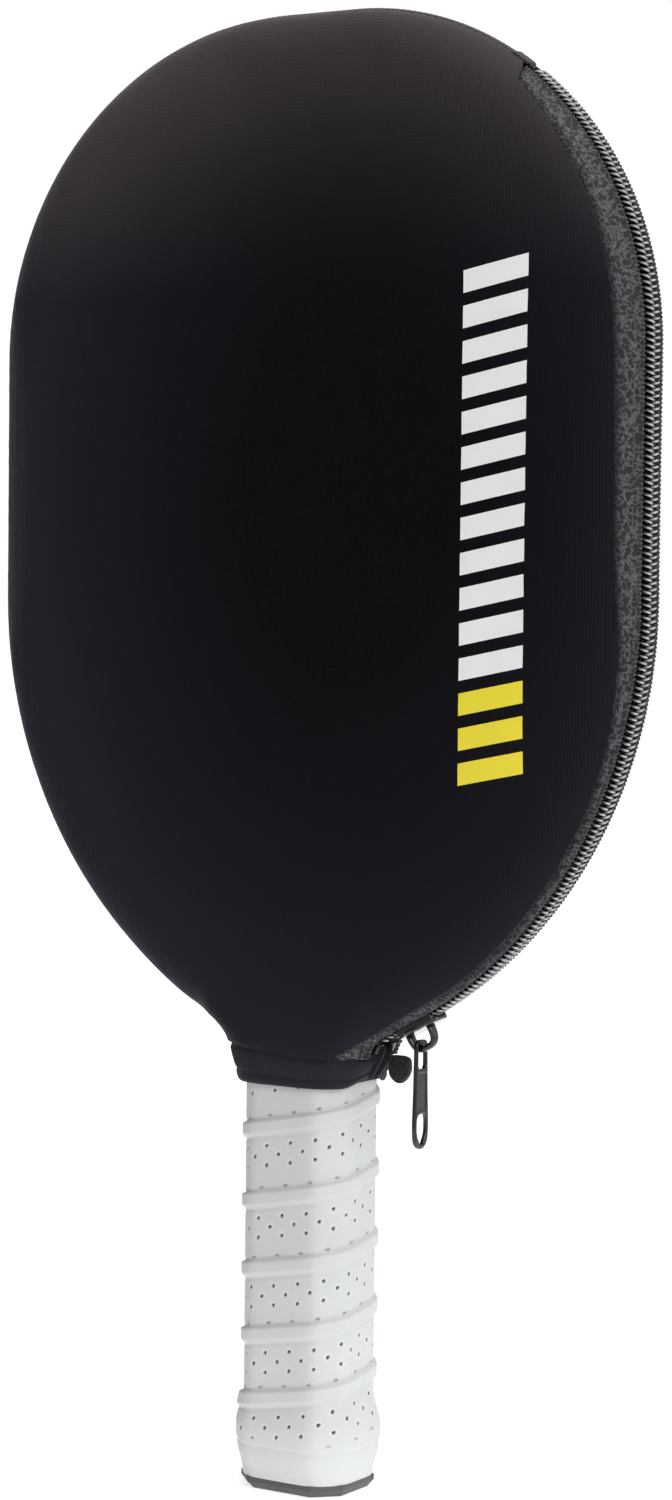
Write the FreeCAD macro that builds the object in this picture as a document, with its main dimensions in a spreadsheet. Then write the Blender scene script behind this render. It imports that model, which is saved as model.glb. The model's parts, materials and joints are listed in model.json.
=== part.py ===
import FreeCAD
import Part
import Sketcher
import math
import os
import re

# Zipped neoprene case on a pickleball paddle, standing on its butt cap.
# Origin: centre of the butt cap's flat bottom. +Z runs up the handle, the printed
# front faces -Y and the zipper runs up the +X side. Millimetres throughout.
#
# Every outline of the case and of the paddle inside it is one curve, the crest of the
# zipper chain, moved inwards by an inset. A level is a distance from the middle plane
# Y = 0. The front half is modelled, and the back half is its mirror image.

Vector = FreeCAD.Vector
Rotation = FreeCAD.Rotation
Placement = FreeCAD.Placement

SIZES = {
    # outline of the case in the middle plane
    "case_top": 413.5,
    "top_flat": 22.0,
    "corner_radius": 95.0,
    "corner_rise": 318.5,
    "shoulder_radius": 133.4,
    "shoulder_rise": 250.8,
    "neck_half": 24.4,
    "neck_fillet": 8.0,
    "outline_foot": 112.0,
    # padded panels: insets and levels of the outer skin and of the lining
    "rim_inset": 0.8,
    "rim_level": 0.8,
    "seam_inset": 3.9,
    "seam_level": 9.8,
    "roll_inset": 7.2,
    "roll_level": 13.0,
    "face_inset": 15.0,
    "face_level": 14.5,
    "padding": 3.0,
    "lining_seam_inset": 6.7,
    "lining_seam_level": 9.0,
    "lining_roll_inset": 9.4,
    "lining_roll_level": 10.6,
    "lining_face_inset": 16.2,
    "lining_face_level": 11.5,
    # fold of the opening flap, from the left of the neck past the zipper's top end
    "fold_foot_x": -26.5,
    "fold_foot_z": 128.0,
    "fold_head_x": 73.0,
    # sewn edge along the left side and the top
    "edge_outer": 0.1,
    "edge_inner": 3.6,
    # zipper tapes, coils and stops
    "tape_inset": 1.9,
    "tape_thickness": 0.9,
    "tape_edge": 1.6,
    "tape_flat": 5.8,
    "coil_inset": 0.05,
    "coil_gap": 0.05,
    "coil_width": 2.7,
    "coil_shift": 1.25,
    "parting_x": 34.4,
    "stop_length": 3.0,
    "bartack_outer": -0.6,
    "bartack_half": 2.5,
    "bartack_start": 59.0,
    "bartack_length": 5.5,
    # slider, in its own frame: length along the chain, heights out of the case
    "slider_angle": 28.6,
    "slider_length": 15.0,
    "slider_head": 5.4,
    "slider_tail": 4.2,
    "plate_thickness": 1.2,
    "plate_clearance": 0.3,
    "flange_width": 0.95,
    "flange_drop": 1.5,
    "post_length": 3.8,
    "post_half": 1.15,
    "bail_head": 6.0,
    "bail_tail": 3.0,
    "bail_slope": 1.6,
    "bail_top": 7.2,
    "bail_wire": 1.3,
    "bail_width": 2.4,
    # pull tab, hanging from its pin
    "pin_height": 4.6,
    "pin_headward": 3.0,
    "pin_drop": 0.8,
    "pin_radius": 0.9,
    "pull_top": 1.1,
    "pull_length": 30.5,
    "pull_half_top": 2.9,
    "pull_half_foot": 3.7,
    "pull_thickness": 1.2,
    "pull_round": 2.6,
    "loop_foot": 7.0,
    "loop_half": 1.95,
    "inlay_head": 8.2,
    "inlay_foot": 18.4,
    "inlay_half": 2.1,
    "inlay_depth": 0.3,
    "slot_head": 19.6,
    "slot_foot": 27.0,
    "slot_half": 2.8,
    # fabric tab that closes the back tape's lower end
    "tab_left": 24.9,
    "tab_length": 6.6,
    "tab_foot": 116.2,
    "tab_height": 7.8,
    "tab_level": 0.6,
    "tab_thickness": 3.0,
    # collar round the handle
    "collar_seam": 124.5,
    "collar_rim": 115.0,
    "collar_half": 24.3,
    "collar_depth": 17.8,
    "collar_corner": 13.4,
    "collar_wall": 2.4,
    "collar_mouth": 2.3,
    "collar_split": 15.0,
    "collar_slit": 0.4,
    "collar_ease": 0.9,
    # printed bars on the flap
    "bar_left": 56.5,
    "bar_length": 19.5,
    "bar_height": 6.0,
    "bar_slant": 4.0,
    "bar_pitch": 9.4,
    "bar_foot": 201.0,
    "ink_thickness": 0.15,
    # paddle blade
    "guard_inset": 6.9,
    "blade_inset": 8.2,
    "guard_lip_inset": 12.5,
    "core_half": 7.5,
    "sheet_thickness": 0.5,
    "guard_lip": 0.8,
    "guard_foot": 137.0,
    # handle, octagonal: half width, half depth and the bevel between them
    "handle_half": 15.2,
    "handle_depth": 12.6,
    "handle_bevel": 6.4,
    "handle_foot": 3.4,
    "handle_top": 121.0,
    "grip_wall": 2.0,
    "grip_top": 120.5,
    "foot_out": 0.4,
    "flare_out": 1.7,
    "flare_waist": 9.5,
    "flare_level": 17.0,
    "flare_end": 26.0,
    "cap_top": 22.0,
    "cap_bevel": 1.4,
    "cap_chamfer": 2.0,
    "band_foot": 116.0,
    "band_top": 120.5,
    "band_wall": 0.5,
}
PLAIN_BARS = 12
ACCENT_BARS = 3
FAR = "600"

doc = FreeCAD.newDocument("paddle_case")
sheet = doc.addObject("Spreadsheet::Sheet", "Sizes")
for row, (alias, value) in enumerate(SIZES.items(), start=1):
    sheet.set("A%d" % row, alias)
    sheet.set("B%d" % row, str(value))
    sheet.setAlias("B%d" % row, alias)
doc.recompute()


# ---------------------------------------------------------------- sums of cells


def number(words):
    """Value of a sum of cells and numbers, such as "one + another / 2 - 3"."""
    total = 0.0
    for term in words.replace("- ", "+ -").split("+"):
        term = term.strip()
        sign = -1 if term.startswith("-") else 1
        word, _, divisor = term.lstrip("-").partition(" / ")
        value = float(sheet.get(word)) if word in SIZES else float(word)
        total += sign * value / float(divisor or 1)
    return total


def formula(words):
    """The same sum as an expression that refers to the sheet."""
    return re.sub(r"([a-z][a-z_]+)", r"Sizes.\1", words)


def new(kind, name, **properties):
    """A document object labelled with its own name."""
    made = doc.addObject(kind, name)
    made.Label = name
    for key, value in properties.items():
        setattr(made, key, value)
    return made


def bind(made, **cells):
    """Tie properties to sums of cells; a double underscore stands for a dot."""
    for key, words in cells.items():
        made.setExpression(key.replace("__", "."), formula(words))
    return made


def cut(name, base, tool):
    return new("Part::Cut", name, Base=base, Tool=tool)


def common(name, base, tool):
    return new("Part::Common", name, Base=base, Tool=tool)


def fuse(name, *shapes):
    return new("Part::MultiFuse", name, Shapes=list(shapes), Refine=True)


def mirrored(name, source):
    """The back half's copy of a front piece."""
    return new("Part::Mirroring", name, Source=source, Normal=Vector(0, 1, 0))


def block(name, corner, extent):
    """Box from its lowest corner, both given as three sums of cells."""
    box = new("Part::Box", name)
    bind(box, Length=extent[0], Width=extent[1], Height=extent[2])
    return bind(box, Placement__Base__x=corner[0], Placement__Base__y=corner[1],
                Placement__Base__z=corner[2])


def slab(name, sketch, forward, back="0", direction=Vector(0, 0, 1)):
    """Solid from a sketch, swept along a direction by two sums of cells."""
    solid = new("Part::Extrusion", name, Base=sketch, Dir=direction, DirMode="Custom",
                Solid=True)
    return bind(solid, LengthFwd=forward, LengthRev=back)


# ---------------------------------------------------------------- sketches

UPRIGHT = Rotation(Vector(1, 0, 0), 90)
LINE_START = 1
LINE_END = 2
ORIGIN = (-1, 1)


def drive(sketch, word, rule, words):
    """Add one constraint under a name and tie it to a sum of cells."""
    place = sketch.addConstraint(rule)
    sketch.renameConstraint(place, word)
    sketch.setExpression("Constraints." + word, formula(words))


def polygon(sketch, points):
    """Closed polygon whose corners are pairs of sums of cells."""
    corners = [Vector(number(x), number(y), 0) for x, y in points]
    first = sketch.GeometryCount
    count = len(corners)
    following = corners[1:] + corners[:1]
    sketch.addGeometry([Part.LineSegment(a, b) for a, b in zip(corners, following)], False)
    for index in range(count):
        after = first + (index + 1) % count
        sketch.addConstraint(
            Sketcher.Constraint("Coincident", first + index, LINE_END, after, LINE_START))
    for index, (x, y) in enumerate(points):
        line = first + index
        for axis, words in (("X", x), ("Y", y)):
            rule = Sketcher.Constraint("Distance" + axis, *ORIGIN, line, LINE_START,
                                       number(words))
            drive(sketch, "corner%s%d" % (axis.lower(), line), rule, words)
    return sketch


def loose_sketch(name, height="0", rotation=Rotation()):
    """Sketch of its own, level with the floor or upright, at a height along its normal."""
    sketch = new("Sketcher::SketchObject", name)
    sketch.Placement = Placement(Vector(0, 0, 0), rotation)
    axis = "y" if rotation.Angle else "z"
    sign = "-" if rotation.Angle else ""
    sketch.setExpression("Placement.Base." + axis, "%s(%s)" % (sign, formula(height)))
    return sketch


def arc(centre, radius, start, end):
    circle = Part.Circle(centre, Vector(0, 0, 1), radius)
    return Part.ArcOfCircle(circle, math.radians(start), math.radians(end))


def outline_curves(inset):
    """Lines and arcs of the outline, clockwise from the top, where they belong."""
    flat = number("top_flat / 2")
    corner = number("corner_radius") - inset
    shoulder = number("shoulder_radius") - inset
    fillet = number("neck_fillet") + inset
    neck = number("neck_half") - inset
    top = number("case_top") - inset
    foot = number("outline_foot")
    high = number("corner_rise")
    low = number("shoulder_rise")
    side = flat + corner
    shoulder_x = side - shoulder
    fillet_x = neck + fillet
    drop = math.sqrt((shoulder + fillet) ** 2 - (fillet_x - shoulder_x) ** 2)
    fillet_z = low - drop
    turn = math.degrees(math.atan2(drop, fillet_x - shoulder_x))
    return [
        Part.LineSegment(Vector(-flat, top, 0), Vector(flat, top, 0)),
        arc(Vector(flat, high, 0), corner, 0, 90),
        Part.LineSegment(Vector(side, high, 0), Vector(side, low, 0)),
        arc(Vector(shoulder_x, low, 0), shoulder, -turn, 0),
        arc(Vector(fillet_x, fillet_z, 0), fillet, 180 - turn, 180),
        Part.LineSegment(Vector(neck, fillet_z, 0), Vector(neck, foot, 0)),
        Part.LineSegment(Vector(neck, foot, 0), Vector(-neck, foot, 0)),
        Part.LineSegment(Vector(-neck, foot, 0), Vector(-neck, fillet_z, 0)),
        arc(Vector(-fillet_x, fillet_z, 0), fillet, 0, turn),
        arc(Vector(-shoulder_x, low, 0), shoulder, 180, 180 + turn),
        Part.LineSegment(Vector(-side, low, 0), Vector(-side, high, 0)),
        arc(Vector(-flat, high, 0), corner, 90, 180),
    ]


def outline_joins():
    """Constraints that keep the outline closed, smooth and symmetric."""
    rule = Sketcher.Constraint
    start, end = LINE_START, LINE_END
    smooth = [(0, end, 1, end), (1, start, 2, start), (2, end, 3, end), (3, start, 4, start),
              (4, end, 5, start), (7, end, 8, start), (8, end, 9, end), (9, start, 10, start),
              (10, end, 11, end), (11, start, 0, start)]
    rules = [rule("Tangent", *ends) for ends in smooth]
    rules += [rule("Coincident", 5, end, 6, start), rule("Coincident", 6, end, 7, start)]
    rules += [rule("Vertical", line) for line in (2, 5, 7, 10)]
    rules += [rule("Equal", 1, 11), rule("Equal", 3, 9), rule("Equal", 4, 8)]
    rules += [rule("Symmetric", 0, start, 0, end, -2), rule("Symmetric", 5, end, 7, start, -2)]
    return rules + [rule("Horizontal", 2, end, 10, start)]


def outline(name, inset, level):
    """Sketch of the outline, moved inwards by an inset, in the plane Y = -level."""
    sketch = loose_sketch(name, level, UPRIGHT)
    sketch.addGeometry(outline_curves(number(inset)), False)
    sketch.addConstraint(outline_joins())
    rule = Sketcher.Constraint
    inward = " - ".join([""] + inset.split(" + "))
    outward = " + " + inset
    driven = [
        ("top", ("DistanceY", *ORIGIN, 0, LINE_END), "case_top" + inward),
        ("flat", ("DistanceX", 0, LINE_START, 0, LINE_END), "top_flat"),
        ("corner", ("Radius", 1), "corner_radius" + inward),
        ("shoulder", ("Radius", 3), "shoulder_radius" + inward),
        ("fillet", ("Radius", 4), "neck_fillet" + outward),
        ("rise", ("DistanceY", *ORIGIN, 2, LINE_END), "shoulder_rise"),
        ("neck", ("DistanceX", *ORIGIN, 5, LINE_END), "neck_half" + inward),
        ("foot", ("DistanceY", *ORIGIN, 5, LINE_END), "outline_foot"),
    ]
    for word, kind, words in driven:
        drive(sketch, word, rule(*kind, number(words)), words)
    return sketch


def outline_loft(name, sections):
    """Solid through outlines at several insets and levels."""
    sketches = [outline("%s_%d" % (name, count), inset, level)
                for count, (inset, level) in enumerate(sections)]
    return new("Part::Loft", name, Sections=sketches, Solid=True, Ruled=True)


def outline_slab(name, inset, level, depth):
    """Slab of the outline that runs from a level towards the front."""
    sketch = outline(name + "_profile", inset, level)
    return slab(name, sketch, depth, direction=Vector(0, -1, 0))


# ---------------------------------------------------------------- dividing spaces

above_seam = block("above_seam", ["-300", "-300", "collar_seam"], [FAR, FAR, FAR])
in_front = block("in_front", ["-300", "-300 - seam_level", "0"], [FAR, "300", FAR])


def fold_space(name, far):
    """Everything on one side of the fold, out to a far X."""
    sketch = polygon(loose_sketch(name + "_profile", "-300", UPRIGHT), [
        ("fold_foot_x", "0"),
        ("fold_foot_x", "fold_foot_z"),
        ("fold_head_x", "case_top"),
        ("fold_head_x", "600"),
        (far, "600"),
        (far, "0"),
    ])
    return slab(name, sketch, FAR, direction=Vector(0, -1, 0))


flap_side = fold_space("flap_side", "300")
fixed_side = fold_space("fixed_side", "-300")

# ---------------------------------------------------------------- padded panels


def panels():
    """Front panel in two parts along the fold, and the back panel in one."""
    skin = outline_loft("skin", [
        ("rim_inset", "rim_level"),
        ("seam_inset", "seam_level"),
        ("roll_inset", "roll_level"),
        ("face_inset", "face_level"),
    ])
    lining = outline_loft("lining", [
        ("rim_inset + padding", "rim_level"),
        ("lining_seam_inset", "lining_seam_level"),
        ("lining_roll_inset", "lining_roll_level"),
        ("lining_face_inset", "lining_face_level"),
    ])
    half = common("padded_half", cut("padded_shell", skin, lining), above_seam)
    cap = common("padded_cap", half, in_front)
    front = common("front_panel", half, fixed_side)
    flap = common("front_flap", cap, flap_side)
    back = fuse("back_panel", mirrored("back_left", front), mirrored("back_right", flap))
    return [front, flap, back]


def edge_seam():
    """Raised sewn edge that joins the two panels over the left side and the top."""
    outside = slab("edge_outside", outline("edge_outside_profile", "edge_outer", "0"),
                   "rim_level", "rim_level", Vector(0, 1, 0))
    inside = slab("edge_inside", outline("edge_inside_profile", "edge_inner", "0"),
                  "rim_level", "rim_level", Vector(0, 1, 0))
    ring = common("edge_ring", cut("edge_band", outside, inside), above_seam)
    return [common("edge_seam", ring, fixed_side)]


# ---------------------------------------------------------------- zipper


def zip_tapes():
    """Woven tapes between the chain and the panels' seams, down to the collar."""
    outside = outline_loft("tape_outside", [
        ("tape_inset", "tape_edge"),
        ("tape_inset", "tape_flat"),
        ("seam_inset", "seam_level"),
    ])
    inside = outline_loft("tape_inside", [
        ("tape_inset + tape_thickness", "tape_edge"),
        ("tape_inset + tape_thickness", "tape_flat"),
        ("seam_inset + tape_thickness", "seam_level"),
    ])
    strip = common("tape_strip", cut("tape_ring", outside, inside), above_seam)
    right_half = block("right_half", ["0", "-300", "0"], ["300", FAR, FAR])
    front = common("front_zip_tape", strip, common("zip_side", flap_side, right_half))
    return [front, mirrored("back_zip_tape", front)]


def coil_ring(name, level):
    """Envelope of one coil all round the outline, starting at a level."""
    outside = outline_slab(name + "_crest", "coil_inset", level, "coil_width")
    inside = outline_slab(name + "_root", "tape_inset", level, "coil_width")
    return cut(name, outside, inside)


def zip_coils():
    """Two rows of coil, closed above the slider and parted below it, and their stops."""
    closed_side = block("closed_side", ["parting_x", "-300", "0"], [FAR, FAR, FAR])
    parted_side = block("parted_side", ["0", "-300", "collar_seam + stop_length"],
                        ["parting_x", FAR, "80"])
    stop_side = block("stop_side", ["0", "-300", "collar_seam"], ["80", FAR, "stop_length"])
    closed = common("closed_coil", coil_ring("closed_ring", "coil_gap"),
                    common("closed_flap_side", flap_side, closed_side))
    parted_ring = coil_ring("parted_ring", "coil_gap + coil_shift")
    parted = common("parted_coil", parted_ring, parted_side)
    front = fuse("front_coil", closed, parted)
    stop = common("front_zip_stop", parted_ring, stop_side)
    return [front, mirrored("back_coil", front), stop, mirrored("back_zip_stop", stop)]


def bartack():
    """Dense stitched bar across the top end of the chain, on the sewn edge's side."""
    bar = []
    for name, inset in (("bartack_outside", "bartack_outer"), ("bartack_inside", "edge_outer")):
        bar.append(slab(name, outline(name + "_profile", inset, "0"), "bartack_half",
                        "bartack_half", Vector(0, 1, 0)))
    place = block("bartack_side", ["bartack_start", "-300", "300"],
                  ["bartack_length", FAR, FAR])
    return [common("top_bartack", cut("bartack_ring", *bar), place)]


# ---------------------------------------------------------------- slider and pull


def chain_place(lift):
    """Frame on the chain at the slider: X towards the slider's tail, Z out of the case."""
    angle = number("slider_angle")
    reach = number("shoulder_radius") + lift
    centre = number("top_flat / 2 + corner_radius - shoulder_radius")
    x = centre + reach * math.sin(math.radians(angle))
    z = number("shoulder_rise") - reach * math.cos(math.radians(angle))
    turn = Rotation(Vector(0, 1, 0), -angle).multiply(Rotation(Vector(1, 0, 0), 180))
    return Placement(Vector(x, 0, z), turn)


def origin_plane(body, role):
    return next(item for item in body.Origin.OriginFeatures if item.Role == role)


def body_sketch(body, name, role, offset="0"):
    """Empty sketch on one of a body's own planes, offset along the plane's normal."""
    sketch = body.newObject("Sketcher::SketchObject", name)
    sketch.AttachmentSupport = (origin_plane(body, role), [""])
    sketch.MapMode = "FlatFace"
    sketch.setExpression(".AttachmentOffset.Base.z", formula(offset))
    return sketch


def pad(body, name, sketch, length, midplane=False):
    feature = body.newObject("PartDesign::Pad", name)
    feature.Profile = sketch
    feature.Refine = True
    if midplane:
        feature.SideType = "Symmetric"
    return bind(feature, Length=length)


def plate_corners(narrower="0"):
    """Plan of the slider's plates, wider at the head where the coils part."""
    trim = " - ".join([""] + narrower.split(" + ")) if narrower != "0" else ""
    back = " + ".join([""] + narrower.split(" + ")) if narrower != "0" else ""
    return [
        ("-slider_length / 2", "-slider_head" + back),
        ("slider_length / 2", "-slider_tail" + back),
        ("slider_length / 2", "slider_tail" + trim),
        ("-slider_length / 2", "slider_head" + trim),
    ]


def slider():
    """Two plates joined by a post, flanges beside the coils, and a bail over the top."""
    body = new("PartDesign::Body", "slider")
    under = "tape_inset + tape_thickness + plate_clearance + plate_thickness"
    below = "-" + under.replace(" + ", " - ")
    post = polygon(body_sketch(body, "post_plan", "XY_Plane", below), [
        ("-slider_length / 2 + 0.5", "-post_half"),
        ("-slider_length / 2 + post_length", "-post_half + 0.7"),
        ("-slider_length / 2 + post_length", "post_half - 0.7"),
        ("-slider_length / 2 + 0.5", "post_half"),
    ])
    pad(body, "post", post, under + " + plate_clearance + plate_thickness")
    inner = polygon(body_sketch(body, "inner_plan", "XY_Plane", below), plate_corners())
    pad(body, "inner_plate", inner, "plate_thickness")
    outer = polygon(body_sketch(body, "outer_plan", "XY_Plane", "plate_clearance"),
                    plate_corners())
    pad(body, "outer_plate", outer, "plate_thickness")
    rails = body_sketch(body, "flange_plan", "XY_Plane",
                        "plate_clearance - flange_drop")
    for side in ("", "-"):
        other = "-" if side == "" else ""
        trim = " - flange_width" if side == "" else " + flange_width"
        polygon(rails, [
            ("-slider_length / 2", side + "slider_head" + trim),
            ("slider_length / 2", side + "slider_tail" + trim),
            ("slider_length / 2", side + "slider_tail"),
            ("-slider_length / 2", side + "slider_head"),
        ])
    pad(body, "flanges", rails, "flange_drop")
    foot = "plate_clearance + plate_thickness / 2"
    bail = polygon(body_sketch(body, "bail_side", "XZ_Plane"), [
        ("-bail_head", foot),
        ("-bail_head", "bail_top - bail_slope"),
        ("-bail_head + bail_slope", "bail_top"),
        ("bail_tail - bail_slope", "bail_top"),
        ("bail_tail", "bail_top - bail_slope"),
        ("bail_tail", foot),
        ("bail_tail - bail_wire", foot),
        ("bail_tail - bail_wire", "bail_top - bail_slope - bail_wire / 2"),
        ("bail_tail - bail_slope - bail_wire / 2", "bail_top - bail_wire"),
        ("-bail_head + bail_slope + bail_wire / 2", "bail_top - bail_wire"),
        ("-bail_head + bail_wire", "bail_top - bail_slope - bail_wire / 2"),
        ("-bail_head + bail_wire", foot),
    ])
    pad(body, "bail", bail, "bail_width", midplane=True)
    doc.recompute()
    body.Placement = chain_place(0)
    return [body]


def slot_corners(head, foot, half, bevel):
    """Long opening with cut corners, between two distances below the pin."""
    return [
        ("-%s + %s" % (half, bevel), "-" + head),
        ("%s - %s" % (half, bevel), "-" + head),
        (half, "-%s - %s" % (head, bevel)),
        (half, "-%s + %s" % (foot, bevel)),
        ("%s - %s" % (half, bevel), "-" + foot),
        ("-%s + %s" % (half, bevel), "-" + foot),
        ("-" + half, "-%s + %s" % (foot, bevel)),
        ("-" + half, "-%s - %s" % (head, bevel)),
    ]


def pull_tab():
    """Flat tab with a pin through the bail, a recess for its inlay and a finger slot."""
    body = new("PartDesign::Body", "pull_frame")
    plan = polygon(body_sketch(body, "pull_plan", "YZ_Plane"), [
        ("-pull_half_top + 1", "pull_top"),
        ("pull_half_top - 1", "pull_top"),
        ("pull_half_top", "pull_top - 1"),
        ("pull_half_foot", "-pull_length + pull_top + pull_round"),
        ("pull_half_foot - 1.8", "-pull_length + pull_top + 0.6"),
        ("1", "-pull_length + pull_top"),
        ("-1", "-pull_length + pull_top"),
        ("-pull_half_foot + 1.8", "-pull_length + pull_top + 0.6"),
        ("-pull_half_foot", "-pull_length + pull_top + pull_round"),
        ("-pull_half_top", "pull_top - 1"),
    ])
    pad(body, "pull_blank", plan, "pull_thickness", midplane=True)
    openings = body_sketch(body, "openings_plan", "YZ_Plane")
    polygon(openings, slot_corners("pin_drop", "loop_foot", "loop_half", "0.5"))
    polygon(openings, slot_corners("slot_head", "slot_foot", "slot_half", "1.4"))
    through = body.newObject("PartDesign::Pocket", "openings")
    through.Profile = openings
    through.Type = "ThroughAll"
    through.SideType = "Symmetric"
    for side, offset in (("right", "pull_thickness / 2 - inlay_depth"),
                         ("left", "-pull_thickness / 2")):
        recess = polygon(body_sketch(body, side + "_recess_plan", "YZ_Plane", offset),
                         slot_corners("inlay_head", "inlay_foot", "inlay_half", "0.4"))
        pocket = body.newObject("PartDesign::Pocket", side + "_recess")
        pocket.Profile = recess
        pocket.Reversed = True
        bind(pocket, Length="inlay_depth")
    axle = body_sketch(body, "pin_plan", "XZ_Plane")
    axle.addGeometry(Part.Circle(Vector(0, 0, 0), Vector(0, 0, 1), number("pin_radius")), False)
    axle.addConstraint(Sketcher.Constraint("Coincident", 0, 3, *ORIGIN))
    drive(axle, "pin", Sketcher.Constraint("Radius", 0, number("pin_radius")), "pin_radius")
    pad(body, "pin", axle, "loop_half + loop_half", midplane=True)
    doc.recompute()
    inlay = new("PartDesign::Body", "pull_inlay")
    for side, offset in (("right", "pull_thickness / 2 - inlay_depth"),
                         ("left", "-pull_thickness / 2")):
        plate = polygon(body_sketch(inlay, side + "_inlay_plan", "YZ_Plane", offset),
                        slot_corners("inlay_head", "inlay_foot", "inlay_half", "0.4"))
        pad(inlay, side + "_inlay", plate, "inlay_depth")
    doc.recompute()
    pin = Vector(-number("pin_headward"), 0, number("pin_height"))
    place = Placement(chain_place(0).multVec(pin), Rotation())
    body.Placement = place
    inlay.Placement = place
    return [body, inlay]


# ---------------------------------------------------------------- collar and print


def rounded_curves(half, depth, corner):
    """Rectangle with round corners about the origin, clockwise from its back side."""
    x = half - corner
    y = depth - corner
    return [
        Part.LineSegment(Vector(-x, depth, 0), Vector(x, depth, 0)),
        arc(Vector(x, y, 0), corner, 0, 90),
        Part.LineSegment(Vector(half, y, 0), Vector(half, -y, 0)),
        arc(Vector(x, -y, 0), corner, 270, 360),
        Part.LineSegment(Vector(x, -depth, 0), Vector(-x, -depth, 0)),
        arc(Vector(-x, -y, 0), corner, 180, 270),
        Part.LineSegment(Vector(-half, -y, 0), Vector(-half, y, 0)),
        arc(Vector(-x, y, 0), corner, 90, 180),
    ]


def rounded(name, height, half, depth, corner):
    """Level sketch of a rounded rectangle, from sums of cells."""
    sketch = loose_sketch(name, height)
    sketch.addGeometry(rounded_curves(number(half), number(depth), number(corner)), False)
    rule = Sketcher.Constraint
    start, end = LINE_START, LINE_END
    smooth = [(0, end, 1, end), (1, start, 2, start), (2, end, 3, end), (3, start, 4, start),
              (4, end, 5, end), (5, start, 6, start), (6, end, 7, end), (7, start, 0, start)]
    sketch.addConstraint([rule("Tangent", *ends) for ends in smooth])
    sketch.addConstraint([rule("Vertical", 2), rule("Vertical", 6), rule("Horizontal", 0),
                          rule("Horizontal", 4), rule("Equal", 1, 3), rule("Equal", 1, 5),
                          rule("Equal", 1, 7)])
    drive(sketch, "left", rule("DistanceX", 6, start, *ORIGIN, number(half)), half)
    drive(sketch, "front", rule("DistanceY", 4, start, *ORIGIN, number(depth)), depth)
    drive(sketch, "half", rule("DistanceX", *ORIGIN, 2, start, number(half)), half)
    drive(sketch, "depth", rule("DistanceY", *ORIGIN, 0, end, number(depth)), depth)
    drive(sketch, "corner", rule("Radius", 1, number(corner)), corner)
    return sketch


def collars():
    """Band sewn round the neck, open between the two tapes and slit near the fold's foot."""
    height = "collar_seam - collar_rim"
    outside = slab("collar_outside", rounded("collar_outside_plan", "collar_rim", "collar_half",
                                             "collar_depth", "collar_corner"), height)
    inside = slab("collar_inside", rounded("collar_inside_plan", "collar_rim",
                                           "collar_half - collar_wall",
                                           "collar_depth - collar_wall",
                                           "collar_corner - collar_wall"), height)
    mouth = block("collar_mouth_space", ["0", "-collar_mouth", "0"],
                  ["300", "collar_mouth + collar_mouth", FAR])
    band = cut("open_collar", cut("collar_ring", outside, inside), mouth)
    moving = block("collar_moving_side", ["collar_slit - collar_split", "-300", "0"],
                   [FAR, "300", FAR])
    left_out = block("collar_front_side", ["-collar_split", "-300", "0"], [FAR, "300", FAR])
    under_flap = block("collar_ease_space", ["-300", "-300", "collar_seam - collar_ease"],
                       ["300 - collar_split", "300", FAR])
    fixed = cut("fixed_collar", band, left_out)
    return [common("front_collar", band, moving), cut("back_collar", fixed, under_flap)]


def tape_tab():
    """Folded tab, a rounded shield, that hangs from the back tape's lower end."""
    right = "tab_left + tab_length"
    top = "tab_foot + tab_height"
    plan = polygon(loose_sketch("tape_tab_plan", "-tab_level", UPRIGHT), [
        ("tab_left", "tab_foot + tab_height / 3"),
        ("tab_left + 1.2", "tab_foot + 1"),
        ("tab_left + 2.6", "tab_foot"),
        ("tab_left + 3.8", "tab_foot"),
        (right + " - 1.2", "tab_foot + 1.6"),
        (right, "tab_foot + tab_height / 2"),
        (right + " - 0.6", top + " - 1"),
        (right + " - 2", top),
        ("tab_left", top),
    ])
    return [slab("back_tape_tab", plan, "tab_thickness", direction=Vector(0, 1, 0))]


def printed_bars(name, first, count):
    """Slanted bars of ink in a column on the flap's flat face."""
    sketch = loose_sketch(name + "_plan", "face_level", UPRIGHT)
    pitch = number("bar_pitch")
    for index in range(first, first + count):
        foot = "bar_foot" + " + bar_pitch" * index
        polygon(sketch, [
            ("bar_left", foot),
            ("bar_left + bar_length", foot + " + bar_slant"),
            ("bar_left + bar_length", foot + " + bar_slant + bar_height"),
            ("bar_left", foot + " + bar_height"),
        ])
    return slab(name, sketch, "ink_thickness", direction=Vector(0, -1, 0))


# ---------------------------------------------------------------- paddle


def octagon(name, height, outward="0"):
    """Level octagon of the handle, grown outwards by a sum of cells."""
    grow = " + " + outward
    half = "handle_half" + grow
    depth = "handle_depth" + grow
    inner_half = half + " - handle_bevel"
    inner_depth = depth + " - handle_bevel"

    def minus(words):
        swapped = words.replace(" + ", " * ").replace(" - ", " + ").replace(" * ", " - ")
        return "-" + swapped

    return polygon(loose_sketch(name, height), [
        (half, minus(inner_depth)),
        (half, inner_depth),
        (inner_half, depth),
        (minus(inner_half), depth),
        (minus(half), inner_depth),
        (minus(half), minus(inner_depth)),
        (minus(inner_half), minus(depth)),
        (inner_half, minus(depth)),
    ])


def octagon_loft(name, sections):
    """Solid through octagons given by height and outward growth."""
    sketches = [octagon("%s_%d" % (name, count), height, outward)
                for count, (height, outward) in enumerate(sections)]
    return new("Part::Loft", name, Sections=sketches, Solid=True, Ruled=True)


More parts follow.
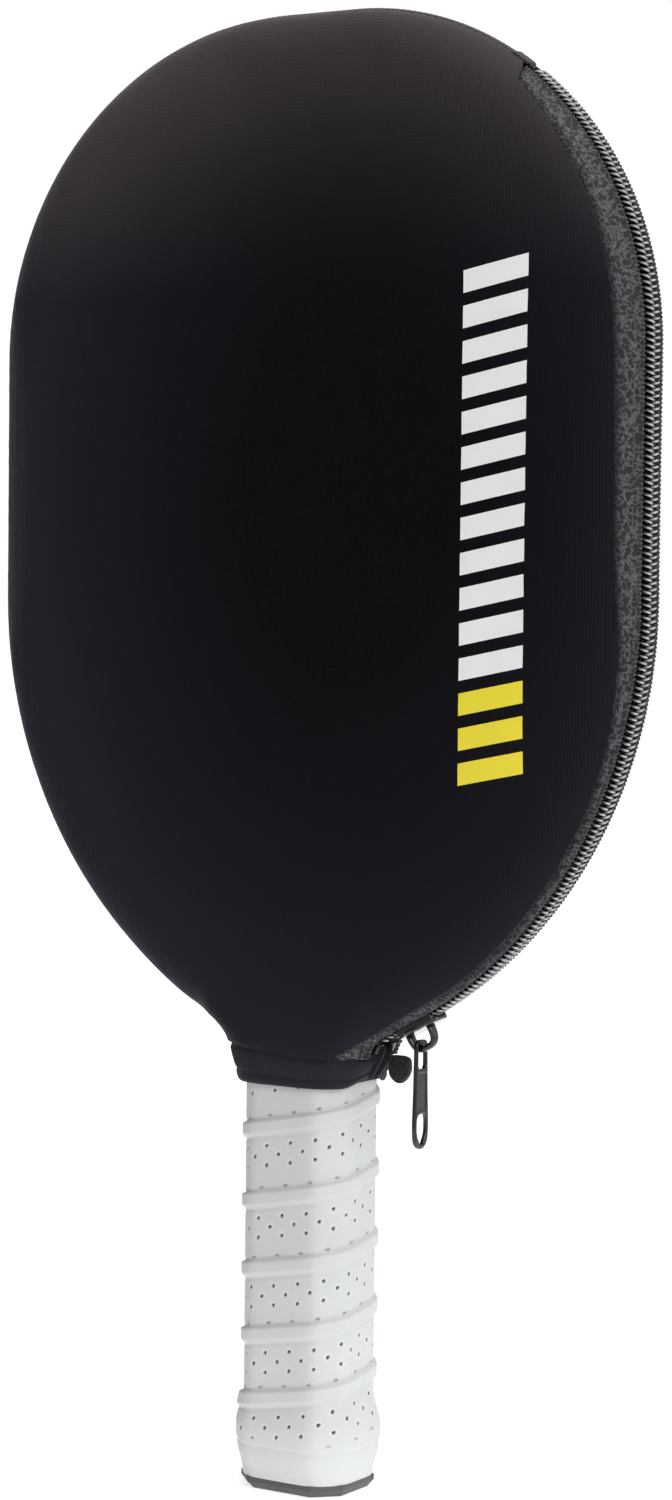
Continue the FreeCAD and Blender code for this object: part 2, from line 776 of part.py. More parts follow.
def paddle_blade():
    """Core and face sheets, each one piece from the blade down through the handle."""
    prism = slab("handle_prism", octagon("handle_plan", "handle_foot"),
                 "handle_top - handle_foot")
    above_handle = block("above_handle", ["-300", "-300", "handle_top"], [FAR, FAR, FAR])

    def layer(name, level, depth):
        blade = slab(name + "_blade", outline(name + "_profile", "blade_inset", level), depth,
                     direction=Vector(0, -1, 0))
        strip = block(name + "_strip", ["-300", "-%s - %s" % (level, depth), "0"],
                      [FAR, depth, FAR])
        return fuse(name, common(name + "_upper", blade, above_handle),
                    common(name + "_lower", prism, strip))

    front_core = layer("core_front_half", "0", "core_half")
    core = fuse("paddle_core", front_core, mirrored("core_back_half", front_core))
    sheet_front = layer("front_face_sheet", "core_half", "sheet_thickness")
    front_pallet_side = block("pallet_side", ["-300", "-300 - core_half - sheet_thickness", "0"],
                              [FAR, "300", FAR])
    pallet = common("front_handle_pallet", prism, front_pallet_side)
    return [core, sheet_front, mirrored("back_face_sheet", sheet_front), pallet,
            mirrored("back_handle_pallet", pallet)], prism


def edge_guard():
    """Channel over the blade's edge, from one side of the throat to the other."""
    depth = "core_half + sheet_thickness + guard_lip"
    outer = slab("guard_outer", outline("guard_outer_profile", "guard_inset", "0"), depth, depth,
                 Vector(0, 1, 0))
    window = slab("guard_window", outline("guard_window_profile", "guard_lip_inset", "0"),
                  depth, depth, Vector(0, 1, 0))
    groove = slab("guard_groove", outline("guard_groove_profile", "blade_inset", "0"),
                  "core_half + sheet_thickness", "core_half + sheet_thickness",
                  Vector(0, 1, 0))
    rim = cut("guard_channel", cut("guard_rim", outer, window), groove)
    throat = block("above_throat", ["-300", "-300", "guard_foot"], [FAR, FAR, FAR])
    return [common("edge_guard", rim, throat)]


def handle_parts(prism):
    """Butt cap, wrapped grip over it, and the band that finishes the grip."""
    under_grip = octagon_loft("under_grip", [
        ("handle_foot", "foot_out"),
        ("flare_waist", "flare_out"),
        ("flare_level", "flare_out"),
        ("flare_end", "0"),
        ("grip_top", "0"),
    ])
    over_grip = octagon_loft("over_grip", [
        ("handle_foot", "foot_out + grip_wall"),
        ("flare_waist", "flare_out + grip_wall"),
        ("flare_level", "flare_out + grip_wall"),
        ("flare_end", "grip_wall"),
        ("grip_top", "grip_wall"),
    ])
    grip = cut("grip_wrap", over_grip, under_grip)
    cup_space = block("cup_space", ["-300", "-300", "0"], [FAR, FAR, "cap_top"])
    cup = cut("cap_cup", common("cap_cup_blank", under_grip, cup_space), prism)
    floor = octagon_loft("cap_floor", [
        ("0", "grip_wall - cap_bevel"),
        ("cap_chamfer", "grip_wall"),
        ("handle_foot", "grip_wall"),
    ])
    cap = fuse("butt_cap", floor, cup)
    band_out = slab("band_outside", octagon("band_outside_plan", "band_foot",
                                            "grip_wall + band_wall"), "band_top - band_foot")
    band_in = slab("band_inside", octagon("band_inside_plan", "band_foot", "grip_wall"),
                   "band_top - band_foot")
    return [grip, cap, cut("finishing_band", band_out, band_in)]


# ---------------------------------------------------------------- build and write

pieces = panels() + edge_seam() + zip_tapes() + zip_coils() + bartack()
pieces += slider() + pull_tab() + collars() + tape_tab()
pieces.append(printed_bars("accent_print", 0, ACCENT_BARS))
pieces.append(printed_bars("side_print", ACCENT_BARS, PLAIN_BARS))
blade_pieces, handle_prism = paddle_blade()
pieces += blade_pieces + edge_guard() + handle_parts(handle_prism)
doc.recompute()

faults = [item.Name for item in doc.Objects
          if "Invalid" in item.State or "Error" in item.State]
faults += [piece.Label for piece in pieces
           if piece.Shape.isNull() or not piece.Shape.isValid() or not piece.Shape.Solids]
if faults:
    raise SystemExit("not built: " + ", ".join(faults))

os.makedirs("parts", exist_ok=True)
for piece in pieces:
    piece.Shape.exportStep(os.path.join("parts", piece.Label + ".step"))
    print("%-22s %2d solids %9.1f mm3" % (piece.Label, len(piece.Shape.Solids),
                                          piece.Shape.Volume))
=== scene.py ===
import bmesh
import bpy
import json
import math
import numpy as np
from mathutils import Matrix, Vector
from mathutils.bvhtree import BVHTree
from mathutils.geometry import delaunay_2d_cdt
from mathutils.kdtree import KDTree


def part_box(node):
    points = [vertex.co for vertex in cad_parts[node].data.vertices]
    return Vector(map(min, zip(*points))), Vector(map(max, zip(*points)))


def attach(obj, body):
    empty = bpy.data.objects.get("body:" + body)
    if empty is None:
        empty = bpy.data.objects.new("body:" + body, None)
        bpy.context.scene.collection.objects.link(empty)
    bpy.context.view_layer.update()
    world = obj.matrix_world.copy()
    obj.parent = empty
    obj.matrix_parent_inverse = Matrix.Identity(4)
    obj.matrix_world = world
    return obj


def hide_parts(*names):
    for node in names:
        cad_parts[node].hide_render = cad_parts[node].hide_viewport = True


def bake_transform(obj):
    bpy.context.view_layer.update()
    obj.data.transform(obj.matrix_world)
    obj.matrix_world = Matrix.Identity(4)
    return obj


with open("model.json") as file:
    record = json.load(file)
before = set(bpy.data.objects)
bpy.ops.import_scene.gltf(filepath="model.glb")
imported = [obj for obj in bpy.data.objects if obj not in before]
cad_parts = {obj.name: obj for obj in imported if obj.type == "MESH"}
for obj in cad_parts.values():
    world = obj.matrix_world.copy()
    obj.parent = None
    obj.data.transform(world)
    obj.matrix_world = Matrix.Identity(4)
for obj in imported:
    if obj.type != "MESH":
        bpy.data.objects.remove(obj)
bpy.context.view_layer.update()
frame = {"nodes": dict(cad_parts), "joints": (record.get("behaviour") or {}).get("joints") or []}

# Zipped case on a paddle. Lengths in this file are millimetres, and become metres when a
# mesh is made. s is the distance along the crest of the zipper chain, from the right of
# the neck over the top to the left. An inset is measured inwards from that crest, and a
# level from the middle plane, positive towards the front.

MM = 0.001
TOP_HALF = 11.0
CORNER_RADIUS = 95.0
CORNER_Z = 318.5
SHOULDER_RADIUS = 133.4
SHOULDER_Z = 250.8
NECK = 24.4
FILLET = 8.0
RIM_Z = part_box("front_collar")[0][2] / MM
SEAM_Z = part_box("front_collar")[1][2] / MM
FACE = -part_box("front_panel")[0][1] / MM
CAP_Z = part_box("butt_cap")[0][2] / MM

SIDE = TOP_HALF + CORNER_RADIUS
SHOULDER_X = SIDE - SHOULDER_RADIUS
FILLET_X = NECK + FILLET
DROP = math.sqrt((SHOULDER_RADIUS + FILLET) ** 2 - (FILLET_X - SHOULDER_X) ** 2)
FILLET_Z = SHOULDER_Z - DROP
TURN = math.atan2(DROP, FILLET_X - SHOULDER_X)
RUNS = [FILLET_Z - RIM_Z, FILLET * TURN, SHOULDER_RADIUS * TURN, CORNER_Z - SHOULDER_Z,
        CORNER_RADIUS * math.pi / 2, TOP_HALF]
MARKS = np.cumsum([0.0] + RUNS)
HALF = MARKS[-1]
LENGTH = 2 * HALF

SLIDER_ANGLE = math.radians(28.6)
JOINTS = {joint["name"]: joint for joint in frame["joints"]}
HINGE = JOINTS["flap_open"]
PULL_PIN = JOINTS["pull_swing"]


# ---------- lines of the case


def ease(x, low, high):
    """0 below low, 1 above high, smooth between."""
    t = np.clip((np.asarray(x, float) - low) / (high - low), 0, 1)
    return t * t * (3 - 2 * t)


def steps(x, places, values):
    """Smooth run through values given at places."""
    total = np.full_like(np.asarray(x, float), values[0])
    for a, b, u, v in zip(places, places[1:], values, values[1:]):
        total = total + (v - u) * ease(x, a, b)
    return total


def crest(s):
    """x, z and the outward way's x and z on the crest; the way is level at the neck."""
    s = np.asarray(s, float)
    t = np.minimum(s, LENGTH - s)
    side = np.where(s <= HALF, 1.0, -1.0)
    fillet = math.pi - (t - MARKS[1]) / FILLET
    shoulder = (t - MARKS[2]) / SHOULDER_RADIUS - TURN
    corner = (t - MARKS[4]) / CORNER_RADIUS
    where = [t < mark for mark in MARKS[1:6]]
    flat = np.ones_like(t)
    x = np.select(where, [NECK * flat, FILLET_X + FILLET * np.cos(fillet),
                          SHOULDER_X + SHOULDER_RADIUS * np.cos(shoulder), SIDE * flat,
                          TOP_HALF + CORNER_RADIUS * np.cos(corner)], TOP_HALF - (t - MARKS[5]))
    z = np.select(where, [RIM_Z + t, FILLET_Z + FILLET * np.sin(fillet),
                          SHOULDER_Z + SHOULDER_RADIUS * np.sin(shoulder),
                          SHOULDER_Z + (t - MARKS[3]), CORNER_Z + CORNER_RADIUS * np.sin(corner)],
                  CORNER_Z + CORNER_RADIUS)
    nx = np.select(where, [flat, -np.cos(fillet), np.cos(shoulder), flat, np.cos(corner)], 0.0)
    nz = np.select(where, [0 * flat, -np.sin(fillet), np.sin(shoulder), 0 * flat,
                           np.sin(corner)], 1.0)
    return x * side, z, nx * side, nz * ease(t, S_SEAM, S_SEAM + 14)


def place(s, inset, level):
    """Points in space from distances along the crest, insets and levels."""
    x, z, nx, nz = crest(s)
    return np.stack(np.broadcast_arrays(x - inset * nx, -np.asarray(level, float),
                                        z - inset * nz), axis=-1)


S_SEAM = MARKS[1] + FILLET * math.asin((SEAM_Z - FILLET_Z) / FILLET)
S_SLIDER = MARKS[2] + SHOULDER_RADIUS * (TURN - math.pi / 2 + SLIDER_ANGLE)
S_FOLD = MARKS[4] + CORNER_RADIUS * math.radians(54.1)
S_END = LENGTH - S_SEAM

# skin of a padded panel: from the rim between the panels up to the flat face
REACH = 16.0
RIM = 0.8
POWER = 2 / 2.2


def skin(turn):
    """Inset and level of the skin at a turn from 0 at the rim to a quarter circle."""
    inset = REACH - (REACH - RIM) * np.clip(np.cos(turn), 0, 1) ** POWER
    level = RIM + (FACE - RIM) * np.clip(np.sin(turn), 0, 1) ** POWER
    return inset, level


def skin_turn(level):
    """Turn at which the skin reaches a level."""
    share = np.clip((np.asarray(level, float) - RIM) / (FACE - RIM), 0, 1)
    return np.arcsin(share ** (1 / POWER))


# where the tape's inner edge laps over the front of the collar, and meets the zipper's side
LAP_X = 16.2
LAP_LEVEL = 7.3
S_LAP = S_SEAM + 32


def seam_level(s):
    """Level of the panel's sewn edge: on the rim, and up beside the tape along the zipper."""
    s = np.asarray(s, float)
    zip_side = steps(s, [S_LAP, 105, 190, 250, 292, S_FOLD - 7, S_FOLD + 3],
                     [LAP_LEVEL, 7.6, 11.4, 11.9, 11.6, 10.2, RIM])
    x, z, nx, nz = crest(s)
    end = place(S_LAP, skin(skin_turn(LAP_LEVEL))[0], 0)
    rise = np.array([SEAM_Z - end[2], end[0] - LAP_X])
    inset = ((x - LAP_X) * rise[0] + (z - SEAM_Z) * rise[1]) / (nx * rise[0] + nz * rise[1])
    share = np.clip((REACH - inset) / (REACH - RIM), 0, 1) ** (2 / POWER)
    lap = RIM + (FACE - RIM) * (1 - share) ** (POWER / 2)
    return np.where(s > S_FOLD + 3, RIM, np.where(s < S_LAP, lap, zip_side))


def neck_swell(z):
    """Growth of the levels where the panel widens to meet the collar."""
    return 1 + 0.205 * (1 - ease(z, SEAM_Z - 1, SEAM_Z + 30))


def seam_rise(x):
    """How much higher the collar's seam runs towards the left."""
    return 2.3 * ease(-np.asarray(x, float), -12, 23)


# ---------- meshes


def linked(name, data):
    """New object in the scene."""
    made = bpy.data.objects.new(name, data)
    bpy.context.scene.collection.objects.link(made)
    return made


def evaluated(thing):
    """Object with its modifiers applied."""
    return thing.evaluated_get(bpy.context.evaluated_depsgraph_get())


def finished(name, data, material, body, weld=0.0, smooth=True):
    """Piece from a mesh in metres: faces turned outwards, a material, and a body to ride on."""
    work = bmesh.new()
    work.from_mesh(data)
    if weld:
        bmesh.ops.remove_doubles(work, verts=work.verts, dist=weld)
    bmesh.ops.recalc_face_normals(work, faces=work.faces)
    work.to_mesh(data)
    work.free()
    data.name = name
    data.materials.clear()
    data.materials.append(material)
    data.polygons.foreach_set("use_smooth", [smooth] * len(data.polygons))
    piece = linked(name, data)
    if body:
        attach(piece, body)
    return piece


def make(name, points, faces, material, body=None, smooth=True):
    """Mesh piece from points in millimetres, riding on a body."""
    data = bpy.data.meshes.new(name)
    data.from_pydata((np.asarray(points, float) * MM).tolist(), [], [list(f) for f in faces])
    data.validate()
    return finished(name, data, material, body, smooth=smooth)


def circle(count):
    """Turns of points spread evenly round a circle."""
    return np.linspace(0, 2 * math.pi, count, endpoint=False)


def unit(ways):
    """Ways with a length of 1."""
    return ways / np.linalg.norm(ways, axis=-1, keepdims=True)


def numbered(rows, columns):
    """Point numbers of a grid, row by row."""
    return np.arange(rows * columns).reshape(rows, columns)


def quads(grid):
    """Faces between the rows and columns of a grid of point numbers."""
    corners = [grid[:-1, :-1], grid[:-1, 1:], grid[1:, 1:], grid[1:, :-1]]
    return [tuple(face) for face in np.stack(corners, axis=-1).reshape(-1, 4).tolist()]


def sweep(rings, closed=False):
    """Points and faces of a section carried along a path: capped, or closed end to end."""
    rings = np.asarray(rings, float)
    grid = numbered(*rings.shape[:2])
    faces = quads(np.pad(grid, ((0, int(closed)), (0, 1)), "wrap"))
    if not closed:
        faces += [tuple(grid[0, ::-1].tolist()), tuple(grid[-1].tolist())]
    return rings.reshape(-1, 3), faces


def tube(path, radius, sides):
    """Points and faces of a round thread along a path; radius may change along it."""
    path = np.asarray(path, float)
    along = unit(np.gradient(path, axis=0))
    radius = np.broadcast_to(radius, len(path))
    side = np.cross(along[0], [0.3, 0.5, 0.81])
    turn = circle(sides)[:, None]
    rings = []
    for point, way, size in zip(path, along, radius):
        side = unit(side - way * np.dot(side, way))
        rings.append(point + size * (np.cos(turn) * side + np.sin(turn) * np.cross(way, side)))
    return sweep(rings)


def gather(parts):
    """Several point and face sets as one."""
    points, faces, first = [], [], 0
    for some, their in parts:
        points.append(some)
        faces += [tuple(first + i for i in face) for face in their]
        first += len(some)
    return np.concatenate(points), faces


def run_along(plan):
    """Distance along a plan line at each of its points."""
    return np.concatenate([[0], np.cumsum(np.linalg.norm(np.diff(plan, axis=0), axis=1))])


def spots_along(plan, places):
    """Points of a plan line at distances along it."""
    return np.column_stack([np.interp(places, run_along(plan), part) for part in plan.T])


def paint(piece, word, values):
    """Store a value per point on a piece, for its material."""
    layer = piece.data.attributes.new(word, "FLOAT", "POINT")
    layer.data.foreach_set("value", np.asarray(values, np.float32).ravel())


def near_tree(points):
    """Tree that finds the nearest of some points."""
    tree = KDTree(len(points))
    for index, point in enumerate(points):
        tree.insert(point, index)
    tree.balance()
    return tree


def gaps_to(line, points):
    """Distance from each point to the nearest point of a line."""
    tree = near_tree(line)
    return np.array([tree.find(point)[2] for point in points])


def power_round(turn, power):
    """Cosine and sine of a turn, squared off by a power below 1."""
    return [np.sign(wave) * np.abs(wave) ** power for wave in (np.cos(turn), np.sin(turn))]


FOLD_WAY = Vector(HINGE["axis"]).cross(Vector((0, 1, 0))).normalized()
if FOLD_WAY.x < 0:
    FOLD_WAY = -FOLD_WAY


def fold(piece):
    """Bake the placement of a piece of the front into its mesh."""
    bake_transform(piece)


def pair(stem, points, faces, material, others=None):
    """Front piece, and its mirror image, or others, on the back.

    Each comes with the name of its side.
    """
    front = make("front_" + stem, points, faces, material)
    behind = np.asarray(points if others is None else others) * [1, -1, 1]
    back = make("back_" + stem, behind, faces, material, "root")
    fold(front)
    return (front, "front"), (back, "back")


# ---------- materials


class Tree:
    """Shader nodes of one material or world."""

    def __init__(self, owner):
        owner.use_nodes = True
        self.tree = owner.node_tree

    def feed(self, target, value):
        """Link a socket, or set a colour or a number."""
        if isinstance(value, bpy.types.NodeSocket):
            self.tree.links.new(value, target)
        else:
            colour = isinstance(value, tuple) and target.type == "RGBA"
            target.default_value = (*value, 1.0) if colour else value

    def node(self, kind, **values):
        """New node; each value goes to a property, a numbered input or a named input."""
        made = self.tree.nodes.new("ShaderNode" + kind)
        for key, value in values.items():
            if hasattr(made, key):
                setattr(made, key, value)
            else:
                numbered = key.startswith("in")
                self.feed(made.inputs[int(key[2:]) if numbered else key], value)
        return made

    def maths(self, kind, a, b=0.0, c=0.0):
        """Result of a Math node."""
        return self.node("Math", operation=kind, in0=a, in1=b, in2=c).outputs[0]

    def clear(self, value, low, high, start=0.0, end=1.0):
        """value from low to high mapped to start to end, clamped."""
        return self.node("MapRange", in0=value, in1=low, in2=high, in3=start, in4=end).outputs[0]

    def mix(self, share, first, second):
        """Colour a share of the way from the first to the second."""
        return self.node("Mix", data_type="RGBA", in0=share, in6=first, in7=second).outputs[2]


class Finish(Tree):
    """A material under construction."""

    def __init__(self, name, **inputs):
        self.material = bpy.data.materials.new(name)
        super().__init__(self.material)
        self.shader = self.tree.nodes["Principled BSDF"]
        self.spot = self.node("TexCoord").outputs["Object"]
        self.x, self.y, self.z = self.node("SeparateXYZ", Vector=self.spot).outputs
        self.set(**inputs)

    def set(self, **inputs):
        """Feed inputs of the surface shader."""
        for key, value in inputs.items():
            self.feed(self.shader.inputs[key.replace("_", " ")], value)

    def painted(self, word):
        """Value stored on the mesh under a name."""
        return self.node("Attribute", attribute_name=word).outputs["Fac"]

    def noise(self, scale, detail=2.0, stretch=(1, 1, 1)):
        """Noise from 0 to 1; scale counts cells per metre."""
        spot = self.node("Mapping", Vector=self.spot, Scale=stretch).outputs[0]
        return self.node("TexNoise", Vector=spot, Scale=scale, Detail=detail).outputs[0]

    def wave(self, value, pitch):
        """Smooth ridges 0 to 1 across a coordinate, a pitch in metres apart."""
        turns = self.maths("MULTIPLY", value, 2 * math.pi / pitch)
        return self.maths("MULTIPLY_ADD", self.maths("SINE", turns), 0.5, 0.5)

    def bump(self, height, depth, strength=1.0):
        """Bump from a height of 0 to 1, a depth in metres."""
        made = self.node("Bump", Height=height, Distance=depth, Strength=strength)
        last = self.shader.inputs["Normal"]
        if last.is_linked:
            self.feed(made.inputs["Normal"], last.links[0].from_socket)
        self.set(Normal=made.outputs[0])


def jersey():
    """Near-black knitted face on foam: fine upright wales, faint mottling, a painted sheen paler
    round the edge and a painted highlight near the top.
    """
    f = Finish("jersey", Sheen_Weight=0.30, Sheen_Roughness=0.3, Sheen_Tint=(0.76, 0.69, 0.83),
               Specular_IOR_Level=0.04)
    wander = f.maths("MULTIPLY_ADD", f.noise(60.0, 1.0), 0.0016, f.x)
    wales = f.wave(wander, 0.00085)
    knit = f.maths("MULTIPLY_ADD", f.wave(f.z, 0.0011), 0.3, wales)
    fuzz = f.noise(2600.0)
    dark = f.mix(f.noise(26.0, 4.0), (0.0024, 0.0021, 0.0031), (0.0046, 0.0041, 0.0056))
    # painted sheen: the colour grows paler with distance from the middle of the face, towards the
    # edges
    over = f.maths("MULTIPLY_ADD", f.z, 1 / 0.15, -0.28 / 0.15)
    wide = f.maths("MULTIPLY_ADD", f.x, 1 / 0.105, -0.02 / 0.105)
    away = f.maths("MULTIPLY_ADD", over, over, f.maths("MULTIPLY", wide, wide))
    painted_edge_sheen = f.clear(away, 0.1, 1.1)
    base = f.mix(painted_edge_sheen, dark, (0.0192, 0.0175, 0.0250))
    # painted highlight: paler still near the top of the case, where light from above falls
    crown = f.maths("MULTIPLY", painted_edge_sheen, f.clear(f.z, 0.335, 0.41))
    base = f.mix(crown, base, (0.088, 0.074, 0.075))
    worn = f.clear(fuzz, 0.52, 0.85, 0.0, 0.5)
    f.set(Base_Color=f.mix(worn, base, (0.019, 0.017, 0.024)),
          Roughness=f.clear(fuzz, 0.2, 0.8, 0.68, 0.88))
    f.bump(knit, 0.00012, 0.9)
    f.bump(fuzz, 0.00006, 0.7)
    f.bump(f.noise(70.0), 0.0009, 0.25)
    return f.material


def collar_rib():
    """Slightly lighter band of the same knit, ribbed."""
    f = Finish("collar_rib", Roughness=0.8, Sheen_Weight=0.15, Sheen_Roughness=0.5,
               Sheen_Tint=(0.7, 0.68, 0.78), Specular_IOR_Level=0.15)
    fuzz = f.noise(2400.0)
    base = f.mix(f.noise(120.0, 3.0), (0.010, 0.010, 0.014), (0.017, 0.017, 0.023))
    f.set(Base_Color=f.mix(f.clear(fuzz, 0.5, 0.9, 0.0, 0.6), base, (0.034, 0.033, 0.042)))
    f.bump(fuzz, 0.00006)
    return f.material


def tape_cloth(name, dark, light, painted_hollow_shade=False):
    """Crinkled woven tape with light flecks on its creases, and painted shade darkening its
    hollows.
    """
    f = Finish(name, Roughness=0.62, Sheen_Weight=0.08, Specular_IOR_Level=0.3)
    lean = f.maths("ABSOLUTE", f.maths("SUBTRACT", f.noise(560.0, 3.0), 0.5))
    crease = f.clear(lean, 0.0, 0.09, 1.0, 0.0)
    grain = f.noise(1700.0)
    height = f.maths("MULTIPLY", crease, f.clear(grain, 0.3, 0.65, 0.35, 1.0))
    woven = f.mix(height, dark, light)
    # painted shade: near black where the stored crown value is low, in the hollows beside the coil,
    # between the ribs and in the groove
    if painted_hollow_shade:
        woven = f.mix(f.painted("crown"), (0.0015, 0.0015, 0.002), woven)
    f.set(Base_Color=woven)
    f.bump(height, 0.0003, 0.8)
    f.bump(grain, 0.00005)
    return f.material


def thread(name, dark, light):
    """Twisted sewing thread."""
    f = Finish(name, Roughness=0.55, Sheen_Weight=0.4)
    ply = f.wave(f.maths("ADD", f.x, f.maths("ADD", f.y, f.z)), 0.0005)
    grain = f.maths("MULTIPLY", ply, f.noise(1500.0))
    f.set(Base_Color=f.mix(f.clear(grain, 0.2, 0.6), dark, light))
    f.bump(ply, 0.00006)
    return f.material


def moulded(name, colour, rough, grain=0.00002, scale=1800.0, coat=0.0, spread=0.12):
    """Plastic, rubber or ink: slight grain, uneven gloss and a little colour drift."""
    f = Finish(name, Coat_Weight=coat, Coat_Roughness=0.12)
    dim, lit = (tuple(c * share for c in colour) for share in (1 - spread, 1 + spread))
    f.set(Base_Color=f.mix(f.noise(90.0, 4.0), dim, lit),
          Roughness=f.clear(f.noise(240.0, 3.0), 0.3, 0.7, rough * 0.85, rough * 1.2))
    f.bump(f.noise(scale), grain)
    return f.material


def coil_nylon():
    """Glossy dark nylon, with a painted highlight on top of each turn."""
    f = Finish("coil_nylon", Coat_Weight=0.2, Coat_Roughness=0.15, Specular_IOR_Level=0.35)
    # painted highlight: near white on the outermost top of each turn, in uneven patches
    patches = f.clear(f.noise(800.0, 3.0), 0.2, 0.6, 0.6, 1.0)
    wear_and_painted_highlight = f.maths("MULTIPLY", f.painted("crown"), patches)
    f.set(Base_Color=f.mix(wear_and_painted_highlight, (0.003, 0.003, 0.0035), (0.68, 0.66, 0.68)),
          Roughness=f.clear(f.noise(600.0, 3.0), 0.3, 0.7, 0.2, 0.34))
    return f.material


def enamel(name, colour, rough):
    """Gloss black paint on cast metal, with rubbed, slightly brighter patches."""
    f = Finish(name, Metallic=0.35, Coat_Weight=0.8, Coat_Roughness=0.08)
    wear_and_painted_highlight = f.clear(f.noise(700.0, 5.0), 0.55, 0.75, 0.0, 0.35)
    f.set(Base_Color=f.mix(wear_and_painted_highlight, colour, (0.06, 0.06, 0.065)),
          Roughness=f.clear(f.noise(500.0, 4.0), 0.3, 0.7, rough, rough * 1.8))
    f.bump(f.noise(350.0), 0.00003)
    return f.material


def grip_skin():
    """Pale synthetic leather, slightly grey in its creases, with dark pricked holes."""
    f = Finish("grip_skin", Specular_IOR_Level=0.45, Subsurface_Weight=0.05)
    hole, halo = f.painted("hole"), f.painted("halo")
    base = f.mix(f.noise(60.0, 5.0), (0.60, 0.60, 0.60), (0.72, 0.72, 0.715))
    pore = f.noise(1500.0, 4.0)
    base = f.mix(f.clear(pore, 0.58, 0.8, 0.0, 0.25), base, (0.50, 0.50, 0.50))
    base = f.mix(halo, base, (0.82, 0.82, 0.815))
    f.set(Base_Color=f.mix(hole, base, (0.02, 0.02, 0.022)),
          Roughness=f.clear(pore, 0.2, 0.8, 0.42, 0.62))
    f.bump(pore, 0.00005, 0.7)
    f.bump(f.noise(160.0, 3.0), 0.0003, 0.25)
    return f.material


def laminate():
    """Woven fibre face of the paddle: a fine two-way checker under a matt grit."""
    f = Finish("laminate", Coat_Weight=0.2, Coat_Roughness=0.4)
    along, over = (f.clear(f.wave(axis, 0.004), 0.45, 0.55) for axis in (f.x, f.z))
    tow = f.maths("ABSOLUTE", f.maths("SUBTRACT", along, over))
    strands = f.mix(tow, (0.018, 0.018, 0.02), (0.05, 0.05, 0.055))
    f.set(Base_Color=f.mix(f.noise(3000.0), strands, (0.03, 0.03, 0.033)),
          Roughness=f.clear(tow, 0.0, 1.0, 0.45, 0.62))
    f.bump(f.noise(2800.0), 0.00006)
    return f.material


def honeycomb():
    """Open polymer core seen at a cut edge."""
    f = Finish("honeycomb", Roughness=0.6, Subsurface_Weight=0.1)
    made = f.node("TexVoronoi", feature="DISTANCE_TO_EDGE", Vector=f.spot, Scale=120.0)
    wall = f.clear(made.outputs[0], 0.0, 0.08)
    f.set(Base_Color=f.mix(wall, (0.78, 0.78, 0.74), (0.30, 0.30, 0.29)))
    f.bump(wall, 0.0006)
    return f.material


def ash_wood():
    """Pale straight-grained wood."""
    f = Finish("ash_wood", Roughness=0.6)
    grain = f.noise(80.0, 6.0, (6, 6, 0.5))
    ring = f.wave(f.maths("MULTIPLY_ADD", grain, 0.006, f.x), 0.003)
    f.set(Base_Color=f.mix(ring, (0.52, 0.37, 0.21), (0.66, 0.50, 0.32)))
    f.bump(grain, 0.0001)
    return f.material


JERSEY = jersey()
RIB = collar_rib()
TAPE = tape_cloth("tape_cloth", (0.015, 0.013, 0.0165), (0.165, 0.152, 0.170), True)
TAB = tape_cloth("tab_cloth", (0.008, 0.009, 0.011), (0.022, 0.023, 0.028))
WELT = thread("welt_thread", (0.008, 0.0075, 0.0095), (0.05, 0.046, 0.053))
COIL = coil_nylon()
STOP = enamel("stop_paint", (0.012, 0.012, 0.013), 0.3)
ENAMEL = enamel("slider_paint", (0.006, 0.006, 0.007), 0.12)
INLAY = moulded("inlay_satin", (0.040, 0.034, 0.044), 0.38)
YELLOW = moulded("ink_yellow", (0.95, 0.80, 0.04), 0.5, 0.00003, 1200.0, spread=0.04)
WHITE = moulded("ink_white", (0.95, 0.945, 0.94), 0.5, 0.00003, 1200.0, spread=0.03)
GRIP = grip_skin()
BUTT = moulded("butt_rubber", (0.075, 0.075, 0.08), 0.55, 0.00006, 2200.0)
BAND = moulded("band_rubber", (0.02, 0.02, 0.021), 0.6, 0.00005)
GUARD = moulded("guard_plastic", (0.015, 0.015, 0.016), 0.42, 0.00003, coat=0.1)


# ---------- padded covers


def cover_stations():
    """Distances along the crest, close together at the neck and round the dart."""
    return np.concatenate([np.arange(S_SEAM, 40, 1.1), np.arange(40, S_FOLD - 26, 2.4),
                           np.arange(S_FOLD - 26, S_FOLD + 8, 1.0),
                           np.arange(S_FOLD + 8, LENGTH - 40, 2.4),
                           np.linspace(LENGTH - 40, S_END, 26)])


